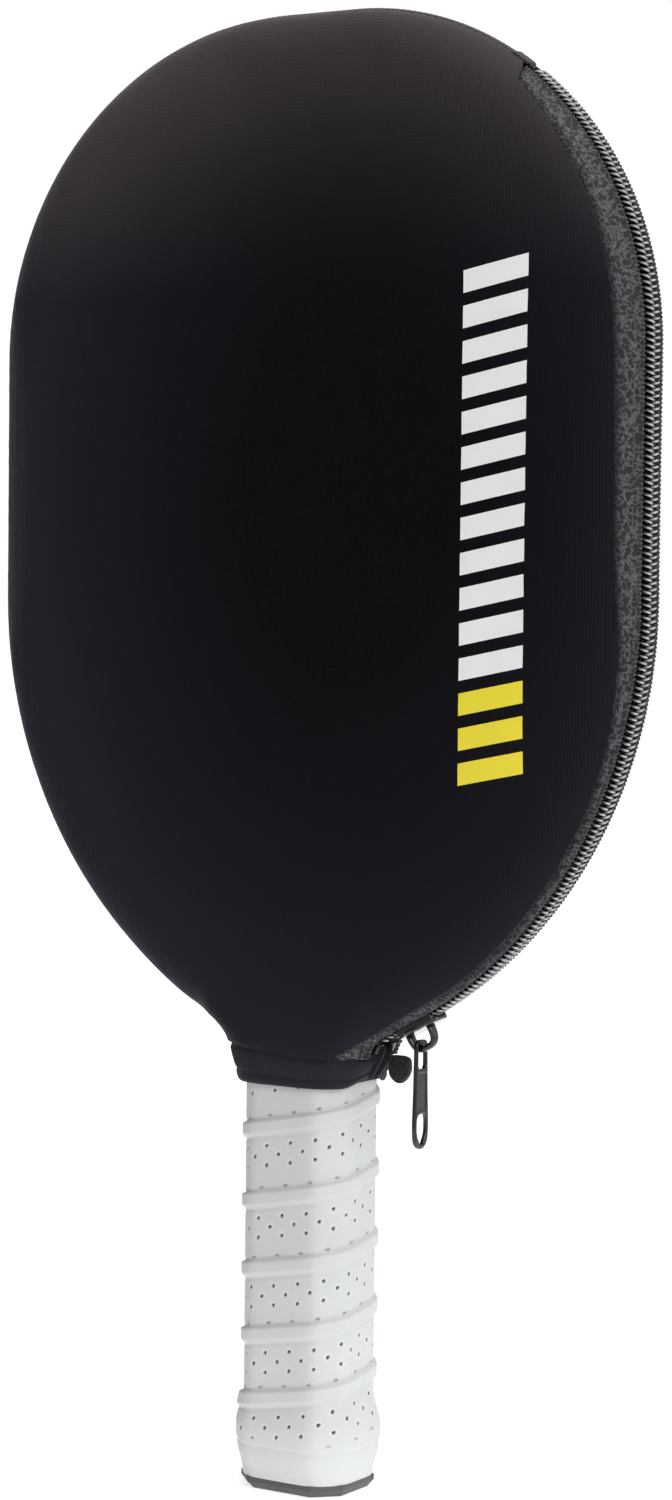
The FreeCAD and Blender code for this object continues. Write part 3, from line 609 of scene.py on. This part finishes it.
def cover_surface():
    """Open outer surface of the front cover: points, faces and points along its border."""
    s = cover_stations()
    start = skin_turn(seam_level(s))
    inset, level = skin(start)
    rows = [(inset + 0.95, level - 0.05), (inset + 0.42, level - 0.30)]
    shares = np.concatenate([[0.0, 0.035], np.linspace(0.08, 1.0, 15)])
    rows += [skin(start + (math.pi / 2 - start) * share) for share in shares]
    grid = np.stack([place(s, *row) for row in rows])
    grid[..., 1] *= neck_swell(grid[..., 2])
    count, width = grid.shape[:2]
    inner = grid[-1]
    foot = np.linspace(inner[-1], inner[0], 6)[1:-1]
    border = np.concatenate([inner, foot])
    low, high = border.min(axis=0), border.max(axis=0)

    def gap(x, z):
        return np.hypot(border[:, 0] - x, border[:, 2] - z).min()

    spacing = 4.5
    lattice = []
    for row, z in enumerate(np.arange(low[2] + 3, high[2] - 1, spacing * 0.87)):
        shift = (row % 2) * spacing / 2
        lattice += [(x, z) for x in np.arange(low[0] + shift, high[0], spacing) if gap(x, z) > 2.6]
    flat = [Vector((p[0], p[2])) for p in border] + [Vector(p) for p in lattice]
    ring = list(range(len(border)))
    edges = [(i, (i + 1) % len(border)) for i in ring]
    found, _, triangles, origin, _, _ = delaunay_2d_cdt(flat, edges, [ring], 1, 1e-5)
    numbers = []
    extra = []
    for spot, sources in zip(found, origin):
        source = sources[0] if sources else -1
        if 0 <= source < width:
            numbers.append((count - 1) * width + source)
        else:
            numbers.append(count * width + len(extra))
            crowned = 0.5 * ease(gap(spot.x, spot.y), 0, 40)
            extra.append((spot.x, -FACE * neck_swell(spot.y) - crowned, spot.y))
    faces = quads(numbered(count, width)) + [tuple(numbers[i] for i in t) for t in triangles]
    return np.concatenate([grid.reshape(-1, 3), extra]), faces, width


def closed_shell(points, faces, thickness):
    """Outer surface with a lining a thickness inside it, joined along their border."""
    data = bpy.data.meshes.new("shell_scratch")
    data.from_pydata(points.tolist(), [], faces)
    work = bmesh.new()
    work.from_mesh(data)
    bmesh.ops.recalc_face_normals(work, faces=work.faces)
    flat_face = max(work.faces, key=lambda face: face.calc_area())
    if flat_face.normal.y > 0:
        bmesh.ops.reverse_faces(work, faces=work.faces)
    work.normal_update()
    normals = np.array([v.normal[:] for v in work.verts])
    ordered = [tuple(v.index for v in face.verts) for face in work.faces]
    border = [tuple(v.index for v in edge.verts) for edge in work.edges if edge.is_boundary]
    work.free()
    bpy.data.meshes.remove(data)
    inner = points - normals * np.asarray(thickness)[:, None]
    count = len(points)
    sides = [(a, b, b + count, a + count) for a, b in border]
    lining = [tuple(i + count for i in face[::-1]) for face in ordered]
    return np.concatenate([points, inner]), ordered + lining + sides


CLOTH = {"quality": 6, "mass": 0.3, "tension_stiffness": 12, "compression_stiffness": 12,
         "shear_stiffness": 6, "bending_stiffness": 1.5, "use_pressure": True,
         "uniform_pressure_force": 4.0, "vertex_group_mass": "pins"}
CLOTH_FRAMES = 20


def swell(points, faces, width):
    """Move of each point when the padded panel is blown up as stitched cloth."""
    moves = np.zeros_like(points)
    shell, closed = closed_shell(points, faces, np.full(len(points), 5.0))
    scratch = make("cloth_scratch", shell, closed, JERSEY)
    remesh = scratch.modifiers.new("remesh", "REMESH")
    remesh.mode = "VOXEL"
    remesh.voxel_size = 0.0055
    view = bpy.context.view_layer
    view.objects.active = scratch
    view.update()
    coarse = bpy.data.meshes.new_from_object(evaluated(scratch))
    scratch.modifiers.clear()
    scratch.data = coarse
    rest = np.array([v.co[:] for v in coarse.vertices]) / MM
    tree = near_tree(points[:width])
    pins = scratch.vertex_groups.new(name="pins")
    for index, point in enumerate(rest):
        _, _, gap = tree.find(point)
        lining = point[1] > -FACE + 3.4 and gap > 6
        held = 1.0 if gap < 4.5 or lining or point[2] < SEAM_Z + 4 else 0.0
        pins.add([index], held, "REPLACE")
    cloth = scratch.modifiers.new("cloth", "CLOTH")
    for key, value in CLOTH.items():
        setattr(cloth.settings, key, value)
    cloth.settings.effector_weights.gravity = 0.0
    cloth.point_cache.frame_start = 1
    cloth.point_cache.frame_end = CLOTH_FRAMES
    scene = bpy.context.scene
    for step in range(1, CLOTH_FRAMES + 1):
        scene.frame_set(step)
    after = np.array([v.co[:] for v in evaluated(scratch).data.vertices]) / MM
    scene.frame_set(1)
    change = after - rest
    size = np.linalg.norm(change, axis=1, keepdims=True)
    change *= np.minimum(1, 1.6 / np.maximum(size, 1e-6))
    finder = near_tree(rest)
    for index, point in enumerate(points):
        near = finder.find_n(point, 6)
        weights = np.array([1 / (0.5 + gap) ** 2 for _, _, gap in near])
        moves[index] = weights @ change[[i for _, i, _ in near]] / weights.sum()
    gaps = gaps_to(points[width * 2:width * 3], points)
    moves *= (ease(gaps, 1.0, 14.0) * ease(points[:, 2], SEAM_Z, SEAM_Z + 20))[:, None]
    bpy.data.objects.remove(scratch)
    return moves


def covers():
    """Padded front with its dart by the zipper's end, and the back as its mirror image."""
    points, faces, width = cover_surface()
    points = points + swell(points, faces, width)
    near = 1 - ease(points[:, 2], SEAM_Z, SEAM_Z + 14)
    points[:, 2] += (seam_rise(points[:, 0]) - 0.7) * near
    gaps = gaps_to(points[:width], points)
    shell, closed = closed_shell(points, faces, 0.35 + 2.2 * ease(gaps, 0.4, 6.0))
    nodes = {"front": ("front_panel", "front_flap"), "back": ("back_panel",)}
    for piece, side in pair("cover", shell, closed, JERSEY):
        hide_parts(*nodes[side])
    return points, faces


# ---------- sewn edge and bartack


def edge_welt():
    """Rounded sewn edge between the panels over the left side and the top."""
    stitch = 2.7
    section = circle(12)
    rings = []
    for spot in np.arange(S_FOLD - 2, S_END, 0.9):
        pinch = 0.04 * math.sin(2 * math.pi * spot / 1.8)
        rings.append(place(np.full(12, spot), 0.95 - 0.82 * np.cos(section) - pinch,
                           0.88 * np.sin(section)))
    rows = [sweep(rings)]
    along = np.arange(S_FOLD - 2, S_END, 0.45)
    beat = np.abs(np.sin(math.pi * along / stitch))
    for way in (-1, 1):
        path = place(along, 0.9 - 0.22 * beat, way * (0.92 + 0.10 * beat))
        rows.append(tube(path, 0.2 + 0.06 * beat, 6))
    piece = make("edge_seam_welt", *gather(rows), WELT, "root")
    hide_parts("edge_seam")


def bartack():
    """Bar of tight stitches over the top end of the chain."""
    threads = []
    bar_x = 65.2
    start = HALF - TOP_HALF - CORNER_RADIUS * math.asin((bar_x - TOP_HALF) / CORNER_RADIUS)
    for index in range(13):
        across = np.linspace(-1, 1, 15)
        lift = 0.55 * (1 - across ** 4) + 0.12 * math.sin(index * 2.4)
        sway = 0.18 * math.sin(index * 1.7)
        path = place(start + (index - 6) * 0.44 + sway * across, 0.75 - lift * 1.15,
                     across * (2.35 + 0.2 * math.sin(index * 3.1)))
        threads.append(tube(path, 0.27, 7))
    for way in (-1, 0, 1):
        along = np.linspace(-3.1, 3.1, 12)
        path = place(start + along, 0.28 - 0.1 * np.cos(along), way * 1.5 + 0.1 * np.sin(along * 3))
        threads.append(tube(path, 0.26, 7))
    piece = make("top_bartack_stitches", *gather(threads), WELT, "root")
    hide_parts("top_bartack")


# ---------- zipper


def parting(s):
    """How far each half of the chain stands off the middle plane below the slider."""
    return 1.9 * (1 - ease(s, S_SEAM + 2, S_SLIDER - 1))


def tape_inset(level, s):
    """Surface of the tape: sunk beside the coil, a raised sewn row, then a soft bulge."""
    inset, _ = skin(skin_turn(level))
    away = level - parting(s)
    sunk = 2.6 - 1.35 * ease(away, 3.5, 4.1)
    return sunk + (np.maximum(1.25, inset + 0.3) - sunk) * ease(away, 5.7, 6.7)


def tapes():
    """Woven tapes with a ribbed sewn row beside the coil, and a stored mask for their painted
    shade.
    """
    s = np.arange(S_SEAM - 1.0, S_FOLD - 1.5, 0.3)
    outer = np.minimum(seam_level(s) + 0.9, FACE - 0.4)
    opening = parting(s)
    growth = neck_swell(crest(s)[1]) - 1
    edge, thickness, sunk = 1.5, 1.1, 1.2
    rib = 0.5 + 0.5 * np.cos(2 * math.pi * s / 1.2)
    top, under, crown = [], [], []
    for share in np.linspace(0, 1, 30):
        level = edge + opening + (outer - edge - opening) * share
        inset = tape_inset(level, s)
        away = level - opening
        row = ease(away, 3.8, 4.2) * (1 - ease(away, 5.7, 6.1))
        stitched = row * (0.05 + 0.42 * rib)
        ridge = 0.14 * ease(away, 6.4, 6.7) * (1 - ease(away, 7.0, 7.3))
        groove = ease(level, outer - 2.5, outer - 1.5)
        wide = level * (1 + growth * share)
        top.append(place(s, inset - stitched - ridge + sunk * groove, wide))
        under.append(place(s, inset + thickness, wide))
        # painted shade mask: 0 in the sunk strip beside the coil, in the valleys between ribs and
        # in the groove by the panel
        crown.append(ease(away, 3.4, 4.1) * (1 - 0.8 * row * (1 - rib)) * (1 - groove))
    # the underside gets 0: painted shade all over it
    shade = np.stack(crown + [np.zeros(len(s))] * len(under), axis=1)
    points, faces = sweep(np.stack(top + under[::-1], axis=1))
    for piece, side in pair("zip_tape_woven", points, faces, TAPE):
        paint(piece, "crown", shade)
        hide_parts(side + "_zip_tape")


COIL_PITCH = 1.7
COIL_LEVEL = 1.55
COIL_INSET = 1.02


def coil_row(offset):
    """One row of the chain: a flattened helix of nylon whose heads reach past the middle."""
    turns = int((S_FOLD - 7.4 - S_SEAM) / COIL_PITCH)
    turn = np.linspace(0, 2 * math.pi * turns, turns * 16 + 1)
    s = S_SEAM + 3.4 + offset + COIL_PITCH * turn / (2 * math.pi)
    level = COIL_LEVEL + parting(s) + (1.95 + 0.1 * np.cos(2 * turn)) * np.cos(turn)
    head = (1 - np.cos(turn)) / 2
    sides = 7
    points, faces = tube(place(s, COIL_INSET + 0.66 * np.sin(turn), level),
                         0.30 + 0.12 * head ** 3, sides)
    # the last value per point is the mask of the painted highlight on the outermost top of each
    # turn
    return points, faces, np.repeat(((1 - np.sin(turn)) / 2) ** 6, sides)


def coils():
    """Both rows of the chain, half a pitch apart, with the stops at their lower ends."""
    points, faces, crown = coil_row(0.0)
    for piece, side in pair("coil_teeth", points, faces, COIL, coil_row(COIL_PITCH / 2)[0]):
        # crown carries the painted highlight on each turn
        paint(piece, "crown", crown)
        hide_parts(side + "_coil")
    across, out = power_round(circle(16), 0.6)
    rings = []
    for share in np.linspace(-1, 1, 9):
        spot = S_SEAM + 1.6 + 1.5 * share
        size = 1 - 0.25 * share ** 4
        rings.append(place(np.full(16, spot), 1.05 + size * out,
                           1.3 + parting(0) + 1.45 * size * across))
    for piece, side in pair("stop_clip", *sweep(rings), STOP):
        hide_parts(side + "_zip_stop")


# ---------- slider and pull


def rounded_outline(corners, radius):
    """Plan polygon with its corners rounded."""
    corners = np.asarray(corners, float)
    points = []
    total = len(corners)
    for index in range(total):
        here = corners[index]
        before = corners[index - 1] - here
        after = corners[(index + 1) % total] - here
        reach = min(radius, 0.45 * np.linalg.norm(before), 0.45 * np.linalg.norm(after))
        start = here + unit(before) * reach
        end = here + unit(after) * reach
        for t in np.linspace(0, 1, 6):
            points.append((1 - t) ** 2 * start + 2 * t * (1 - t) * here + t ** 2 * end)
    return np.array(points)


def plate(outline, low, high, edge):
    """Flat plate from a plan outline, with rounded upper and lower edges."""
    away = outline - outline.mean(axis=0)
    turns = np.linspace(0, math.pi / 2, 4)
    steps_in = [(1 - math.sin(turn), 1 - math.cos(turn)) for turn in turns]
    levels = [(low + edge * up, edge * inward) for up, inward in steps_in[::-1]]
    levels += [(high - edge * up, edge * inward) for up, inward in steps_in]
    return sweep([np.insert(outline - unit(away) * inward, 2, height, axis=1)
                  for height, inward in levels])


def slider_place(points):
    """Points from the slider's own frame: along the chain, across it, and out of the case."""
    x, z, nx, nz = (float(value) for value in crest(S_SLIDER))
    origin = np.array([x, 0, z])
    along = np.array([-nz, 0, nx])
    out = np.array([nx, 0, nz])
    across = np.cross(out, along)
    local = np.asarray(points, float)
    return origin + local[:, :1] * along + local[:, 1:2] * across + local[:, 2:] * out


def slider():
    """Cast slider: two plates with side flanges, a post, and a bail over the top."""
    head, tail, half = 5.3, 4.1, 7.5
    plan = [(-half, -head * 0.55), (-half * 0.55, -head), (half * 0.6, -tail), (half, -tail * 0.5),
            (half, tail * 0.5), (half * 0.6, tail), (-half * 0.55, head), (-half, head * 0.55)]
    outline = rounded_outline(plan, 2.0)
    parts = [plate(outline, 0.3, 1.5, 0.45), plate(outline * 0.97, -4.2, -3.1, 0.4)]
    for side in (-1, 1):
        edge = np.array([(-half + 1.5, head), (half - 1.5, tail), (half - 1.5, tail - 0.9),
                         (-half + 1.5, head - 0.9)])
        edge[:, 1] *= side
        parts.append(plate(rounded_outline(edge[::side], 0.4), -1.15, 0.9, 0.2))
    post = np.array([(-half + 0.6, -1.1), (-half + 3.7, -0.5), (-half + 3.7, 0.5),
                     (-half + 0.6, 1.1)])
    parts.append(plate(rounded_outline(post, 0.4), -3.3, 0.6, 0.15))
    turn = np.linspace(0, math.pi, 33)
    arch_x = -1.5 - 3.7 * power_round(turn, 0.62)[0]
    arch_z = 1.0 + 5.4 * np.sin(turn) ** 0.55
    middle = np.column_stack([arch_x, 0 * arch_x, arch_z])
    thick, across = power_round(circle(16), 0.75)
    rings = []
    for point, way, share in zip(middle, unit(np.gradient(middle, axis=0)),
                                 np.linspace(-1, 1, 33)):
        wide = 1.2 + 0.5 * abs(share) ** 3
        rings.append(point + np.outer(thick, [-way[2], 0, way[0]]) * 0.92
                     + np.outer(across, [0, 1, 0]) * wide)
    parts.append(sweep(rings))
    points, faces = gather(parts)
    piece = make("slider_cast", slider_place(points), faces, ENAMEL, "slider")
    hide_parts("slider")


def flat_plan(name, outlines, thickness, edge, material):
    """Plate in the plane of the hanging tab from closed outlines, the first one outside."""
    curve = bpy.data.curves.new(name + "_plan", "CURVE")
    for key, value in (("dimensions", "2D"), ("fill_mode", "BOTH"), ("bevel_resolution", 3),
                       ("extrude", (thickness / 2 - edge) * MM), ("bevel_depth", edge * MM),
                       ("offset", -edge * MM)):
        setattr(curve, key, value)
    for outline in outlines:
        line = curve.splines.new("POLY")
        line.points.add(len(outline) - 1)
        for point, (a, b) in zip(line.points, outline):
            point.co = (a * MM, b * MM, 0, 1)
        line.use_cyclic_u = True
    holder = linked(name + "_holder", curve)
    bpy.context.view_layer.update()
    data = bpy.data.meshes.new_from_object(evaluated(holder))
    bpy.data.objects.remove(holder)
    turned = Matrix(((0, 0, 1), (1, 0, 0), (0, 1, 0))).to_4x4()
    data.transform(Matrix.Translation(Vector(PULL_PIN["pos_m"])) @ turned)
    piece = finished(name, data, material, "pull", weld=0.00001)
    keen = piece.modifiers.new("edges", "EDGE_SPLIT")
    keen.split_angle = math.radians(38)
    return piece


def window(head, foot, half, radius):
    """Round-ended opening between two distances below the pin."""
    return rounded_outline([(-half, -head), (half, -head), (half, -foot), (-half, -foot)], radius)


def pull_tab():
    """Hanging tab: looped top, sunk inlay on both faces and a finger slot."""
    shape = [(-2.8, 1.1), (2.8, 1.1), (2.9, -4), (3.1, -12), (3.65, -23.5), (3.2, -27.6),
             (1.2, -29.4), (-1.2, -29.4), (-3.2, -27.6), (-3.65, -23.5), (-3.1, -12), (-2.9, -4)]
    outline = rounded_outline(shape, 2.0)
    loop = window(0.85, 7.0, 1.9, 1.2)
    sunk = window(8.3, 18.3, 2.1, 0.6)
    slot = rounded_outline([(-2.4, -19.6), (2.4, -19.6), (2.4, -25.2), (0.6, -28.1), (-0.6, -28.1),
                            (-2.4, -25.2)], 2.2)
    cast = flat_plan("pull_frame_cast", [outline, loop, sunk, slot], 1.25, 0.35, ENAMEL)
    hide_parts("pull_frame")
    inlay = flat_plan("pull_inlay_plate", [window(8.1, 18.5, 2.3, 0.6)], 0.75, 0.12, INLAY)
    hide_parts("pull_inlay")


# ---------- collar


def collar_plan():
    """Front half of the collar's plan, from the left side round to the zipper's opening."""
    inset, level = skin(np.linspace(0, math.pi / 2, 40))
    x = NECK - inset - 0.25
    y = 0.3 - level * neck_swell(SEAM_Z)
    flat = np.linspace(-x[-1], x[-1], 30)[1:-1]
    return np.concatenate([[(-x[0], 0.0)], np.column_stack([-x, y]),
                           np.column_stack([flat, np.full(28, y[-1])]),
                           np.column_stack([x, y])[::-1][:-1], [(x[0], -2.4)]])


def collars():
    """Ribbed band with a rolled hem, sewn under the panels' edge and drawn in to the grip."""
    plan = collar_plan()
    lengths = run_along(plan)
    w = np.arange(0, lengths[-1], 0.22)
    base = spots_along(plan, w)
    soft = np.exp(-np.linspace(-2, 2, 15) ** 2)
    padded = np.pad(base, ((7, 7), (0, 0)), "reflect", reflect_type="odd")
    base = np.column_stack([np.convolve(column, soft / soft.sum(), "valid") for column in padded.T])
    way = unit(np.gradient(base, axis=0))
    out = np.column_stack([way[:, 1], -way[:, 0]])
    section = [(-1.9, 2.2), (-1.0, 1.2), (-0.6, 0.3), (-0.15, -0.5), (-0.02, -0.85), (-0.15, -1.15),
               (-0.5, -1.35), (-0.1, -1.7), (0.15, -2.4), (0.2, -3.8), (0.15, -5.0), (0.1, -6.0),
               (0.04, -6.6), (-0.12, -6.9), (0.08, -7.2), (0.32, -7.7), (0.4, -8.4), (0.3, -9.1),
               (0.0, -9.45), (-0.7, -9.5), (-1.3, -9.1), (-1.6, -8.2), (-1.7, -6.0),
               (-1.8, -3.0), (-2.0, 0.0), (-2.3, 2.2)]
    rib = 0.5 + 0.5 * np.cos(2 * math.pi * w / 0.95)
    raised = 2.4 * ease(w, lengths[-1] - 12, lengths[-1] - 1)
    rings = []
    for outward, drop in section:
        ribbed = 0.2 * rib if -6.3 < drop < -1.6 and outward > 0.05 else 0.0 * rib
        spot = base + out * (outward + ribbed)[:, None]
        share = max(0.0, -drop / 9.5) ** 1.2
        spot = spot * [1 - 0.15 * share, 1 - 0.055 * share]
        seam = SEAM_Z + seam_rise(base[:, 0]) * (1 - min(1.0, share))
        rings.append(np.column_stack([spot, seam + drop + raised * share]))
    for piece, side in pair("collar_band", *sweep(np.stack(rings, axis=1)), RIB):
        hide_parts(side + "_collar")


def tape_tab():
    """Folded fabric shield that closes the lower end of the back tape."""
    low, high = (np.array(corner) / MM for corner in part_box("back_tape_tab"))
    wide = high[0] - low[0]
    tall = high[2] - low[2]
    shape = [(0, 0.3), (0.2, 0.1), (0.42, 0), (0.6, 0), (0.85, 0.2), (1, 0.5), (0.95, 0.92),
             (0.7, 1), (0, 1)]
    flat = rounded_outline([(low[0] + a * wide, low[2] + b * tall) for a, b in shape], 1.6)
    middle = flat.mean(axis=0)
    rings = []
    for turn in np.linspace(0.12, math.pi - 0.12, 15):
        size = 1 - 0.16 * (1 - math.sin(turn) ** 0.7)
        level = low[1] + (high[1] - low[1]) * (1 - math.cos(turn)) / 2
        rings.append(np.insert(middle + (flat - middle) * size, 1, level, axis=1))
    piece = make("back_tape_tab_folded", *sweep(rings), TAB, "root")
    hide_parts("back_tape_tab")


# ---------- print


def bars(name, numbers, surface, material):
    """Slanted bars of ink lying on the cover's face."""
    left, length, height, slant, pitch, foot = 56.5, 19.5, 6.0, 4.0, 9.4, 201.0
    rows, columns = 5, 14
    grid = numbered(rows, columns)
    total = grid.size
    faces = quads(grid) + [face[::-1] for face in quads(grid + total)]
    rim = np.concatenate([grid[0], grid[1:, -1], grid[-1, -2::-1], grid[-2:0:-1, 0]]).tolist()
    faces += [(a, b, b + total, a + total) for a, b in zip(rim, rim[1:] + rim[:1])]
    along = np.tile(np.linspace(0, 1, columns), rows)
    up = np.repeat(np.linspace(0, 1, rows), columns)
    parts = []
    for bar in numbers:
        x = left + length * along
        z = foot + pitch * bar + slant * along + height * up
        y = [surface.ray_cast(Vector((a, -60, c)), Vector((0, 1, 0)))[0].y for a, c in zip(x, z)]
        under = np.column_stack([x, y, z])
        parts.append((np.concatenate([under - [0, 0.14, 0], under + [0, 0.05, 0]]), faces))
    piece = make(name, *gather(parts), material, smooth=False)
    fold(piece)
    return piece


def prints(points, faces):
    """Three yellow bars, and twelve white ones above them."""
    surface = BVHTree.FromPolygons([Vector(p) for p in points], faces)
    accent = bars("accent_print_ink", range(3), surface, YELLOW)
    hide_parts("accent_print")
    side = bars("side_print_ink", range(3, 15), surface, WHITE)
    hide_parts("side_print")


# ---------- grip


def grip():
    """Spiral-wrapped, pricked grip over the octagonal handle."""
    low, high = (corner[2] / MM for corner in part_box("grip_wrap"))
    columns, rows = 336, 290
    halves = np.array([17.2, 14.6])
    bevel = 6.4
    rise, growth, level_of_first, overlap_side = 20.43, 0.333, 100.8, 213 / 360
    diagonal = (halves.sum() - bevel) / math.sqrt(2)
    turn = circle(1440)
    reach = np.zeros_like(turn)
    for angle in range(8):
        facing = angle * math.pi / 4
        gap = diagonal if angle % 2 else halves[angle // 2 % 2]
        reach += np.maximum(0, np.cos(turn - facing) / gap) ** 20
    radius = reach ** (-1 / 20)
    ring = np.column_stack([radius * np.cos(turn), radius * np.sin(turn)])
    ring = np.append(ring, ring[:1], axis=0)
    around = run_along(ring)[-1]
    w = np.linspace(0, around, columns, endpoint=False)
    plan = spots_along(ring, w)
    way = unit(np.roll(plan, -1, axis=0) - np.roll(plan, 1, axis=0))
    out = np.column_stack([way[:, 1], -way[:, 0]])
    z = np.linspace(low, high, rows)
    turns = (np.sqrt(rise ** 2 + 4 * growth * (z - level_of_first)) - rise) / (2 * growth)
    pitch = (rise + 2 * growth * turns)[:, None]
    share = w / around - overlap_side
    spiral = turns[:, None] - share[None, :]
    ahead = np.ceil(spiral)
    below = (ahead - spiral) * pitch
    above = pitch - below
    run = (ahead + share[None, :]) * around
    edge = np.where(below < pitch / 2, -below, above)
    band = ease(edge, -2.7, -1.3) * (1 - ease(edge, 1.7, 2.35))
    crown = band - 0.30 * np.exp(-((edge - 2.5) / 0.4) ** 2)
    crown -= 0.18 * np.exp(-((edge + 2.9) / 0.5) ** 2)
    crown *= (ease(z, 19.0, 22.0) * (1 - ease(z, high - 4, high - 1)))[:, None]
    hole = np.zeros_like(spiral)
    halo = np.zeros_like(spiral)
    spacing = 8.0
    for row, drop in enumerate((5.4, 8.1, 10.8)):
        along = (run + row * spacing / 2) % spacing - spacing / 2
        gap = np.hypot(along, below - drop)
        hole = np.maximum(hole, 1 - ease(gap, 0.36, 0.6))
        halo = np.maximum(halo, np.exp(-((gap - 0.85) / 0.25) ** 2))
    dash = (run + 1.6) % spacing - spacing / 2
    gap = np.hypot(dash / 2.2, above - 3.1)
    hole = np.maximum(hole, 0.6 * (1 - ease(gap, 0.22, 0.46)))
    fade = (ease(z, 14.5, 15.5) * (1 - ease(z, high - 3, high - 2)))[:, None]
    hole *= fade
    halo *= fade * 0.5
    flare = 0.3 + 1.6 * ease(z, low, 12.0) + 0.25 * np.exp(-((z - 17.5) / 4) ** 2)
    flare *= 1 - ease(z, 17.0, 29.0)
    line = -0.28 * np.exp(-((z - 13.0) / 0.35) ** 2) - 0.25 * (1 - ease(z, 12.6, 13.0))
    total = crown - 0.45 * hole + (flare + line)[:, None]
    xy = plan[None] + out[None] * total[..., None]
    outer = np.concatenate([xy, np.broadcast_to(z[:, None, None], (rows, columns, 1))], axis=2)
    inner = [np.insert(plan - out * depth, 2, level, axis=1)[None]
             for depth, level in ((0.15, low), (1.9, high), (1.9, 60.0))]
    rings = np.concatenate([inner[0], outer, inner[1], inner[2]])
    piece = make("grip_wrap_spiral", *sweep(rings, closed=True), GRIP, "root")
    for word, values in (("hole", hole), ("halo", halo)):
        paint(piece, word, np.pad(values, ((1, 2), (0, 0))))
    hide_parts("grip_wrap")


# ---------- carried-over nodes


def dress(name, material, edge=0.0):
    """Give a CAD node its finish, with its sharp edges eased if an edge is given."""
    target = frame["nodes"][name]
    if not target.material_slots:
        target.data.materials.append(material)
    for slot in target.material_slots:
        slot.link = "OBJECT"
        slot.material = material
    if edge:
        weld = target.modifiers.new("weld", "WELD")
        weld.merge_threshold = 0.00001
        soft = target.modifiers.new("ease", "BEVEL")
        soft.width = edge * MM
        soft.segments = 3
        soft.limit_method = "ANGLE"
        soft.angle_limit = math.radians(25)


def inner_parts():
    """Paddle inside the case and the caps at the handle's ends."""
    dress("paddle_core", honeycomb())
    face, wood = laminate(), ash_wood()
    for side in ("front", "back"):
        dress(side + "_face_sheet", face)
        dress(side + "_handle_pallet", wood)
    dress("edge_guard", GUARD, 0.25)
    dress("butt_cap", BUTT, 0.3)
    dress("finishing_band", BAND, 0.1)


# ---------- stage


def lamp(name, spot, aim, size, power):
    """Soft square light aimed at a point, in metres."""
    data = bpy.data.lights.new(name, "AREA")
    data.size = size
    data.energy = power
    made = linked(name, data)
    made.location = spot
    made.rotation_euler = (Vector(aim) - Vector(spot)).to_track_quat("-Z", "Y").to_euler()


# ways to the bright side of the room, and from the camera past the case
KEY_WAY = (0.974, -0.225, 0.0)
AWAY = (-0.544, 0.838, 0.0)


def studio():
    """Pale floor with a painted pool of glowing light round the case, white surroundings and soft
    lights.
    """
    size = 6.0
    data = bpy.data.meshes.new("floor")
    data.from_pydata([(-size, -size, 0), (size, -size, 0), (size, size, 0), (-size, size, 0)],
                     [], [(0, 1, 2, 3)])
    floor = linked("floor", data)
    floor.location.z = CAP_Z * MM - 0.0002
    f = Finish("pale_floor", Roughness=0.9, Specular_IOR_Level=0.1)
    # painted light: the floor glows in a pool round the case and behind it, fading towards the
    # camera and to the sides
    toward = f.maths("MULTIPLY_ADD", f.x, -AWAY[0], f.maths("MULTIPLY", f.y, -AWAY[1]))
    aside = f.maths("MULTIPLY_ADD", f.x, 0.839, f.maths("MULTIPLY", f.y, 0.545))
    spread = f.maths("MULTIPLY_ADD", toward, 0.13, f.maths("ABSOLUTE", aside))
    painted_light_pool = f.maths("MULTIPLY", f.clear(spread, 0.14, 0.7, 0.72, 0.0),
                   f.clear(toward, 0.03, 0.35, 1.0, 0.0))
    f.set(Base_Color=f.mix(f.noise(4.0), (0.72, 0.72, 0.72), (0.75, 0.75, 0.75)),
          Emission_Color=(1.0, 1.0, 1.0), Emission_Strength=painted_light_pool)
    data.materials.append(f.material)
    world = bpy.data.worlds.new("studio")
    bpy.context.scene.world = world
    sky = Tree(world)
    way = sky.node("TexCoord").outputs["Generated"]
    lit, seen = (sky.node("VectorMath", operation="DOT_PRODUCT", in0=way, in1=facing).outputs[1]
                 for facing in (KEY_WAY, AWAY))
    glow = sky.maths("MAXIMUM", sky.maths("MULTIPLY_ADD", lit, 0.86, 0.40), 0.05)
    glow = sky.maths("MAXIMUM", glow, sky.clear(seen, 0.8, 0.93, 0.0, 1.02))
    back = sky.tree.nodes["Background"]
    sky.feed(back.inputs[0], (1, 1, 1))
    sky.feed(back.inputs[1], glow)
    lamp("key", (0.9, -0.7, 0.75), (0, 0, 0.2), 0.4, 3.5)
    lamp("top", (0.1, 0.1, 1.5), (0, 0, 0.3), 0.8, 7.0)
    bpy.context.scene.view_settings.view_transform = "Standard"


def camera():
    """Three-quarter view from the front, a little above the case's middle."""
    azimuth, elevation, roll = (math.radians(a) for a in (32.99, 2.83, 0.62))
    target = Vector((0.00701, 0.0, 0.20833))
    distance = 0.99203
    back = Vector((math.sin(azimuth) * math.cos(elevation),
                   -math.cos(azimuth) * math.cos(elevation), math.sin(elevation)))
    level = Vector((0, 0, 1)).cross(back).normalized()
    upright = back.cross(level)
    right = level * math.cos(roll) + upright * math.sin(roll)
    up = back.cross(right)
    data = bpy.data.cameras.new("camera")
    data.lens = 85.15
    made = linked("camera", data)
    turned = Matrix((right, up, back)).transposed().to_4x4()
    made.matrix_world = Matrix.Translation(target + back * distance) @ turned
    bpy.context.scene.camera = made


camera()
studio()
cover_points, cover_faces = covers()
prints(cover_points, cover_faces)
edge_welt()
bartack()
tapes()
coils()
slider()
pull_tab()
collars()
tape_tab()
grip()
inner_parts()
